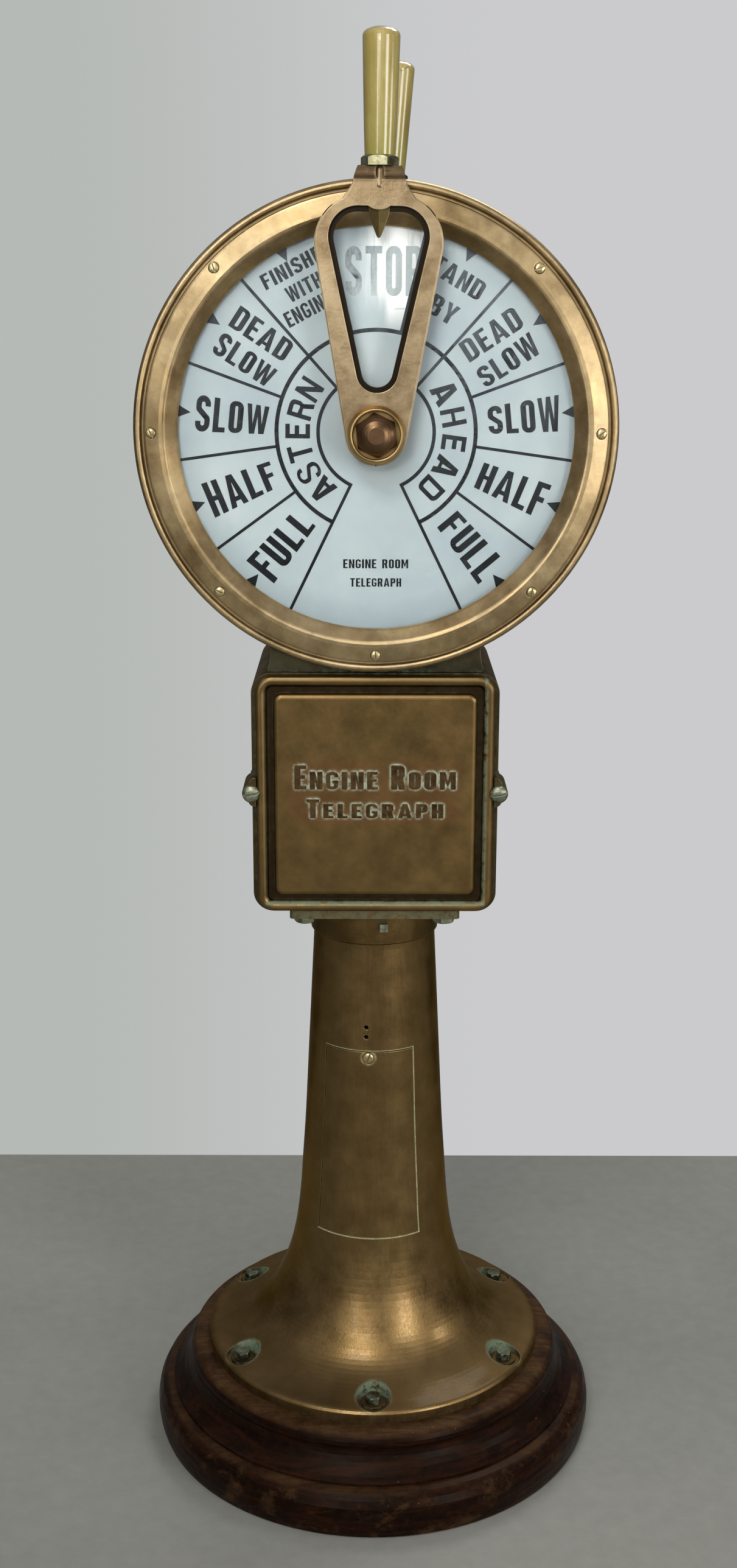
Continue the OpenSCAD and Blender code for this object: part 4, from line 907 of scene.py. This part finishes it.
def put_word(word, cx, cy, rot, height, width, taper=0.0, arc_r=None):
    """Outlines of a word centred on (cx, cy), turned by rot degrees. taper makes the right end taller (+) or shorter (-)."""
    outl, w = word_outlines(word)
    k = width / w
    c, s = math.cos(math.radians(rot)), math.sin(math.radians(rot))
    out = []
    for pts in outl:
        q = []
        for x, y in pts:
            t = x / w - 0.5
            X, Y = (x - w / 2) * k, (y - 0.5) * height * (1 + taper * t)
            q.append((cx + X * c - Y * s, cy + X * s + Y * c))
        out.append(q)
    return out


def polar(angle, r):
    a = math.radians(angle)
    return r * math.sin(a), r * math.cos(a)


def dial_markings():
    lines, letters = [], []
    lines.append(ring_piece("", 76.6, 79.8, -154, 154))
    for s in (-1, 1):
        lines.append(ring_piece("", 44.2, 47.0, s * 42, s * 154))
        lines.append(bar_piece(s * 42, 44.2, 158, 2.4))
        lines.append(bar_piece(s * 154, 44.2, 158, 2.4))
        for a in (14, 70, 98, 126):
            lines.append(bar_piece(s * a, 78.5, 158, 2.3))
        for a in (28, 56, 84, 112, 140):
            ax, ay = polar(s * a, 146.0)
            b0, b1 = polar(s * a - 1.9, 157), polar(s * a + 1.9, 157)
            lines.append([[(ax, ay), b1, b0]])
    for a, word, dl, dr in ((84, "SLOW", 113.5, 116.5), (112, "HALF", 115.0, 116.0), (140, "FULL", 115.5, 116.5)):
        x, y = polar(a, dr)
        letters += put_word(word, x, y, 90 - a, 24.6, 56.5, taper=0.30)
        x, y = polar(-a, dl)
        letters += put_word(word, x, y, a - 90, 25.0, 57.0, taper=-0.30)
    for s in (-1, 1):
        a = 56
        for word, off, width, height, taper in (("DEAD", 12.2, 50.5, 17.6, 0.06), ("SLOW", -11.6, 51.0, 17.4, 0.16)):
            x, y = polar(s * a, 115.5)
            # across the radius, upwards on the dial
            px, py = -math.cos(math.radians(a)) * s, math.sin(math.radians(a))
            letters += put_word(word, x + px * off, y + py * off, s * (90 - a), height, width, taper=taper * s)
    letters += put_word("STAND", 57.6, 120.3, -30.5, 14.8, 56)
    letters += put_word("BY", 51.6, 93.4, -30.5, 15.4, 22.5)
    for word, x, y, width in (("FINISHED", -61.5, 126.3, 59), ("WITH", -55.8, 110.0, 29), ("ENGINES", -49.5, 95.2, 46)):
        letters += put_word(word, x, y, 27.5, 11.8, width)
    global T, H
    keep = T, H
    T, H = 0.122, 0.180

    def around(word, first, step, height, wide):
        for i, c in enumerate(word):
            a = first + step * i
            x, y = polar(a, 61.6)
            g, w = word_outlines(c)
            k = height * wide
            cc, ss = math.cos(math.radians(-a)), math.sin(math.radians(-a))
            for pts in g:
                letters.append([(x + ((px - w / 2) * k) * cc - (py - 0.5) * height * ss, y + ((px - w / 2) * k) * ss + (py - 0.5) * height * cc) for px, py in pts])
    around("AHEAD", 60.2, 18.7, 19.4, 1.50)
    around("ASTERN", -136.6, 15.8, 19.4, 1.44)
    T, H = keep
    small = put_word("ENGINE ROOM", 0, -103.5, 0, 7.2, 52) + put_word("TELEGRAPH", 0, -118.5, 0, 6.8, 41)
    worn = put_word("STOP", 5.5, 122, 0, 37, 59)
    return lines, letters + small, worn


def build_dial(prefix, rear):
    lines, letters, worn = dial_markings()
    objs = []
    for i, l in enumerate(lines):
        objs.append(place(fill_outlines("tmp", l, LINE_T), on_dial(0.004 * (i % 3))))
    line_o = join(prefix + "_dial_lines", objs, PAINT)
    let_o = join(prefix + "_dial_orders", [place(fill_outlines("tmp", letters, LINE_T), on_dial(0.0))], PAINT)
    old_o = join(prefix + "_dial_stop", [place(fill_outlines("tmp", worn, LINE_T), on_dial(0.0))], GHOST)
    for o in (line_o, let_o, old_o):
        if rear:
            turn_about_hub(o, 0, True)
        auto_smooth(o, 20)
        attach(o, "stand")


build_dial("front", False)
build_dial("rear", True)

# ------------------------------------------------------------------ raised words on the case cover
def small_caps(word, x0, z0, big, small, gap):
    """A word with a tall first letter, standing on z0. Returns outlines and its right edge (mm)."""
    global T, H
    keep = T, H
    T, H = 0.205, 0.150
    out, x = [], x0
    for i, c in enumerate(word):
        h = big if i == 0 else small
        shapes, w = word_outlines(c)
        k = h * (0.80 if i == 0 else 0.98)
        for pts in shapes:
            out.append([(x + px * k, z0 + py * h) for px, py in pts])
        x += w * k + gap
    T, H = keep
    return out, x - gap


def fit(words, z0, big, small, gap, space, half):
    """A line of words spread over -half..half."""
    out, x = [], 0.0
    for n, w in enumerate(words):
        o, x = small_caps(w, x + (space if n else 0.0), z0, big, small, gap)
        out += o
    k = 2 * half / x
    return [[(px * k - half, py) for px, py in pts] for pts in out]


def raised(name, outlines, top, under, mat):
    """Letters standing on the cover's face, with a small chamfer round their tops."""
    cham = 0.22
    cu = bpy.data.curves.new(name, "CURVE")
    cu.dimensions = "2D"
    cu.fill_mode = "BOTH"
    cu.extrude = (top - under) / 2 - cham
    cu.bevel_depth = cham
    cu.bevel_resolution = 0
    cu.offset = -cham * 0.6
    for pts in outlines:
        sp = cu.splines.new("POLY")
        sp.points.add(len(pts) - 1)
        for q, (px, py) in zip(sp.points, pts):
            q.co = (px, py, 0, 1)
        sp.use_cyclic_u = True
    tmp = bpy.data.objects.new(name, cu)
    bpy.context.scene.collection.objects.link(tmp)
    bpy.context.view_layer.update()
    me = bpy.data.meshes.new_from_object(tmp.evaluated_get(bpy.context.evaluated_depsgraph_get()))
    bpy.data.objects.remove(tmp)
    bpy.data.curves.remove(cu)
    me.name = name
    o = bpy.data.objects.new(name, me)
    bpy.context.scene.collection.objects.link(o)
    bm = bmesh.new()
    bm.from_mesh(me)
    bmesh.ops.remove_doubles(bm, verts=bm.verts, dist=1e-4)
    bm.to_mesh(me)
    bm.free()
    me.materials.clear()
    me.materials.append(mat)
    mid = (top + under) / 2
    place(o, lambda x, y, z: Vector((x * MM, -(mid + z) * MM, y * MM)))
    return auto_smooth(o, 25)


def letter_bronze():
    """Raised letters: dark worn tops, verdigris down their sides."""
    t = Tree("bronze_letters")
    g = t.nt.nodes.new("ShaderNodeNewGeometry")
    sp = t.nt.nodes.new("ShaderNodeSeparateXYZ")
    t.link(g.outputs["Normal"], sp.inputs[0])
    flat = t.span(t.math("ABSOLUTE", sp.outputs[1]), 0.80, 0.97)
    n1, n2 = t.noise(70, 6, 0.66), t.noise(320, 5, 0.65)
    top = t.mix(t.span(n1, 0.36, 0.62), srgb(84, 63, 40), srgb(134, 106, 72))
    mint = t.mix(n2, srgb(92, 108, 76), srgb(168, 180, 146))
    side = t.math("MULTIPLY", t.math("SUBTRACT", 1.0, flat), t.span(n2, 0.36, 0.55, 0.45, 1.0))
    film = t.math("MULTIPLY", t.span(n2, 0.58, 0.70), 0.25)
    k = t.math("MULTIPLY", t.math("MAXIMUM", t.math("MULTIPLY", side, 0.55), film), 1.0)
    col = t.mix(k, top, mint)
    return t.set(color=col, metallic=t.math("SUBTRACT", 1.0, k, clamp=True), rough=t.mixf(k, 0.34, 0.7), normal=t.bump(n2, 0.15, 0.0003))


LETTERS = letter_bronze()
words = fit(("ENGINE", "ROOM"), 630.6, 20.4, 15.0, 2.0, 7.5, 66.4) + fit(("TELEGRAPH",), 606.0, 16.0, 12.2, 2.0, 0.0, 56.5)
cover_words = raised("cover_words", words, 86.0, 84.5, LETTERS)
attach(cover_words, "stand")

# ------------------------------------------------------------------ old polish caked in the pedestal door's gap
def column_radius(z, az):
    """Outer radius of the column at a height, found on its own mesh (metres)."""
    d = Vector((math.sin(az), -math.cos(az), 0.0))
    hit, loc, _, _ = NODES["column"].ray_cast(d * 0.4 + Vector((0, 0, z)), -d, distance=0.4)
    return math.hypot(loc.x, loc.y) if hit else 0.056


def caked_polish():
    """A thin filling on the frame's side of the gap, clear of the door by a hair: along the top, down the right side and back along the foot."""
    g = 0.55 * MM
    back = DOOR_AZ + math.pi
    rows = []
    n = 60
    a0, a1 = DOOR_AZ - DOOR_HALF, DOOR_AZ + DOOR_HALF
    radius = {z: column_radius(z, back) for z in [DOOR_Z0 + (DOOR_Z1 - DOOR_Z0) * i / n for i in range(n + 1)]}
    zs = sorted(radius)
    verts, faces = [], []

    def strip(sections):
        base = len(verts)
        for sec in sections:
            verts.extend(sec)
        for i in range(len(sections) - 1):
            for k in range(4):
                k2 = (k + 1) % 4
                faces.append((base + i * 4 + k, base + i * 4 + k2, base + (i + 1) * 4 + k2, base + (i + 1) * 4 + k))
        faces.append((base, base + 1, base + 2, base + 3)[::-1])
        e = base + (len(sections) - 1) * 4
        faces.append((e, e + 1, e + 2, e + 3))

    def pt(a, r, z):
        return (r * math.sin(a), -r * math.cos(a), z)

    def ring(za, zb, r, amin, amax):
        out = []
        for i in range(n + 1):
            a = amin + (amax - amin) * i / n
            rr = r + 0.03 * MM * math.sin(a * 61) - 0.02 * MM
            out.append([pt(a, rr - 1.6 * MM, za), pt(a, rr, za), pt(a, rr, zb), pt(a, rr - 1.6 * MM, zb)])
        strip(out)

    edge = math.asin(g / 0.060)
    ring(DOOR_Z1 - 0.36 * MM, DOOR_Z1 + 0.05 * MM, radius[zs[-1]], a0, a1)
    ring(DOOR_Z0 - 0.05 * MM, DOOR_Z0 + g, radius[zs[0]], a0, a1)
    out = []
    for i, z in enumerate(zs):
        r = radius[z] - 0.02 * MM + 0.03 * MM * math.sin(i * 1.9)
        zz = min(max(z, DOOR_Z0 + g), DOOR_Z1 - 0.36 * MM)
        out.append([pt(a1 - edge, r - 1.6 * MM, zz), pt(a1 - edge, r, zz), pt(a1 + 0.001, r, zz), pt(a1 + 0.001, r - 1.6 * MM, zz)])
    strip(out)
    t = Tree("caked_polish")
    n1, n2 = t.noise(180, 5, 0.7), t.noise(600, 4, 0.6)
    col = t.mix(t.span(n1, 0.36, 0.64), srgb(150, 148, 106), srgb(204, 202, 164))
    col = t.mix(t.span(n2, 0.58, 0.72), col, srgb(120, 128, 96))
    t.set(color=col, rough=t.span(n2, 0.3, 0.7, 0.62, 0.85), spec=0.2, normal=t.bump(n2, 0.3, 0.0002))
    o = add_mesh("door_seam_polish", verts, faces, t.mat, False)
    bm = bmesh.new()
    bm.from_mesh(o.data)
    bmesh.ops.recalc_face_normals(bm, faces=bm.faces)
    bm.to_mesh(o.data)
    bm.free()
    auto_smooth(o, 35)
    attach(o, "stand")


caked_polish()

# ------------------------------------------------------------------ floor, backdrop, light, camera
def stage_material(name, a, b, rough):
    t = Tree(name)
    n1, n2 = t.noise(1.7, 6, 0.6), t.noise(60, 5, 0.65)
    col = t.mix(t.span(t.mixf(0.3, n1, n2), 0.38, 0.62), a, b)
    return t.set(color=col, rough=rough, spec=0.25, normal=t.bump(n2, 0.12, 0.002))


FLOOR = stage_material("floor_pale", srgb(134, 134, 127), srgb(148, 148, 141), 0.75)
floor = add_mesh("floor", [(-7, -7, 0), (7, -7, 0), (7, 0.51, 0), (-7, 0.51, 0)], [(0, 1, 2, 3)], FLOOR, False)


def area(name, loc, target, size, power, color=(1, 1, 1), size_y=None):
    l = bpy.data.lights.new(name, "AREA")
    l.energy = power
    l.color = color
    l.shape = "RECTANGLE" if size_y else "SQUARE"
    l.size = size
    if size_y:
        l.size_y = size_y
    o = bpy.data.objects.new(name, l)
    bpy.context.scene.collection.objects.link(o)
    o.location = loc
    o.rotation_euler = (Vector(target) - Vector(loc)).to_track_quat("-Z", "Y").to_euler()
    return o


area("key", (-0.60, -2.1, 2.75), (0, 0, 0.95), 0.9, 24, (1.0, 0.985, 0.96), 0.7)
area("front_strip", (-0.95, -2.6, 1.20), (0, 0, 0.7), 0.24, 7, (1.0, 0.985, 0.95), 1.2)
area("front_high", (-0.42, -2.6, 1.62), (0, 0, 1.15), 0.50, 9, (1.0, 0.99, 0.97), 0.40)
area("fill_right", (1.35, -1.8, 0.95), (0, 0, 0.85), 0.60, 13.5, (1.0, 0.99, 0.98), 1.0)
area("side_right", (1.9, -0.55, 1.08), (0, 0, 0.92), 0.45, 4, (1.0, 0.985, 0.96), 0.45)
area("back_soft", (0.75, 1.60, 2.95), (0, 0, 0.80), 1.3, 25, (0.985, 0.985, 1.0), 1.0)

world = bpy.data.worlds.new("studio")
bpy.context.scene.world = world
world.use_nodes = True
wn = world.node_tree
wn.nodes.clear()


def world_node(kind, **kw):
    n = wn.nodes.new(kind)
    for k, v in kw.items():
        setattr(n, k, v)
    return n


# Bright ahead and above, dim at the sides, so that round metal shows dark flanks
tc = world_node("ShaderNodeTexCoord")
sp = world_node("ShaderNodeSeparateXYZ")
wn.links.new(tc.outputs["Generated"], sp.inputs[0])


def world_math(op, a, b):
    n = world_node("ShaderNodeMath", operation=op)
    n.use_clamp = op != "MULTIPLY_ADD" and op != "SUBTRACT"
    for i, v in enumerate((a, b)):
        if hasattr(v, "node"):
            wn.links.new(v, n.inputs[i])
        else:
            n.inputs[i].default_value = v
    return n.outputs[0]


ahead = world_math("MAXIMUM", world_math("SUBTRACT", 0.0, sp.outputs[1]), 0.0)
over = world_math("MAXIMUM", sp.outputs[2], 0.0)
around = world_math("MULTIPLY", world_math("MULTIPLY", world_math("ADD", sp.outputs[2], 0.12), 3.5), world_math("SUBTRACT", 0.55, sp.outputs[1]))
behind = world_math("MAXIMUM", sp.outputs[1], 0.0)
glow = world_math("ADD", world_math("MULTIPLY", world_math("POWER", ahead, 3.0), 0.48), world_math("MULTIPLY", world_math("POWER", over, 1.5), 0.66))
glow = world_math("ADD", glow, world_math("MULTIPLY", around, 0.15))
glow = world_math("ADD", glow, world_math("MULTIPLY", world_math("POWER", behind, 4.0), 0.30))
bg_lo = world_node("ShaderNodeBackground")
bg_lo.inputs[0].default_value = (0.50, 0.50, 0.52, 1)
bg_lo.inputs[1].default_value = 0.10
bg_hi = world_node("ShaderNodeBackground")
bg_hi.inputs[0].default_value = (0.93, 0.94, 0.97, 1)
bg_hi.inputs[1].default_value = 0.62
ms = world_node("ShaderNodeMixShader")
wn.links.new(glow, ms.inputs[0])
wn.links.new(bg_lo.outputs[0], ms.inputs[1])
wn.links.new(bg_hi.outputs[0], ms.inputs[2])

# Straight behind the object stands pale paper, a little greyer to the left: that grey is a painted shadow
side = world_node("ShaderNodeMapRange", interpolation_type="SMOOTHSTEP")
wn.links.new(sp.outputs[0], side.inputs[0])
for i, v in enumerate((-0.17, 0.08, 0.0, 1.0)):
    side.inputs[i + 1].default_value = v
paper_with_painted_shadow = world_node("ShaderNodeMix", data_type="RGBA")
wn.links.new(side.outputs[0], paper_with_painted_shadow.inputs[0])
paper_with_painted_shadow.inputs[6].default_value = (*srgb(182, 186, 182), 1)
paper_with_painted_shadow.inputs[7].default_value = (*srgb(203, 203, 205), 1)
bg_seen = world_node("ShaderNodeBackground")
wn.links.new(paper_with_painted_shadow.outputs[2], bg_seen.inputs[0])
bg_seen.inputs[1].default_value = 1.0
ray = world_node("ShaderNodeLightPath")
seen = world_node("ShaderNodeMixShader")
wn.links.new(ray.outputs["Is Camera Ray"], seen.inputs[0])
wn.links.new(ms.outputs[0], seen.inputs[1])
wn.links.new(bg_seen.outputs[0], seen.inputs[2])
wo = world_node("ShaderNodeOutputWorld")
wn.links.new(seen.outputs[0], wo.inputs[0])

cam = bpy.data.cameras.new("camera")
cam.lens = 36 * 2959.52 / 2576
cam.sensor_width = 36
cam.sensor_fit = "AUTO"
cam.shift_y = -12.48 / 2576
cam.clip_start, cam.clip_end = 0.05, 50
co = bpy.data.objects.new("camera", cam)
bpy.context.scene.collection.objects.link(co)
co.matrix_world = Matrix.Translation((-0.005428, -1.517244, 1.022257)) @ Matrix.Rotation(math.radians(90 - 14.8842), 4, "X") @ Matrix.Rotation(0.0020526, 4, "Z")
bpy.context.scene.camera = co
bpy.context.scene.view_settings.view_transform = "Standard"

bpy.context.view_layer.update()
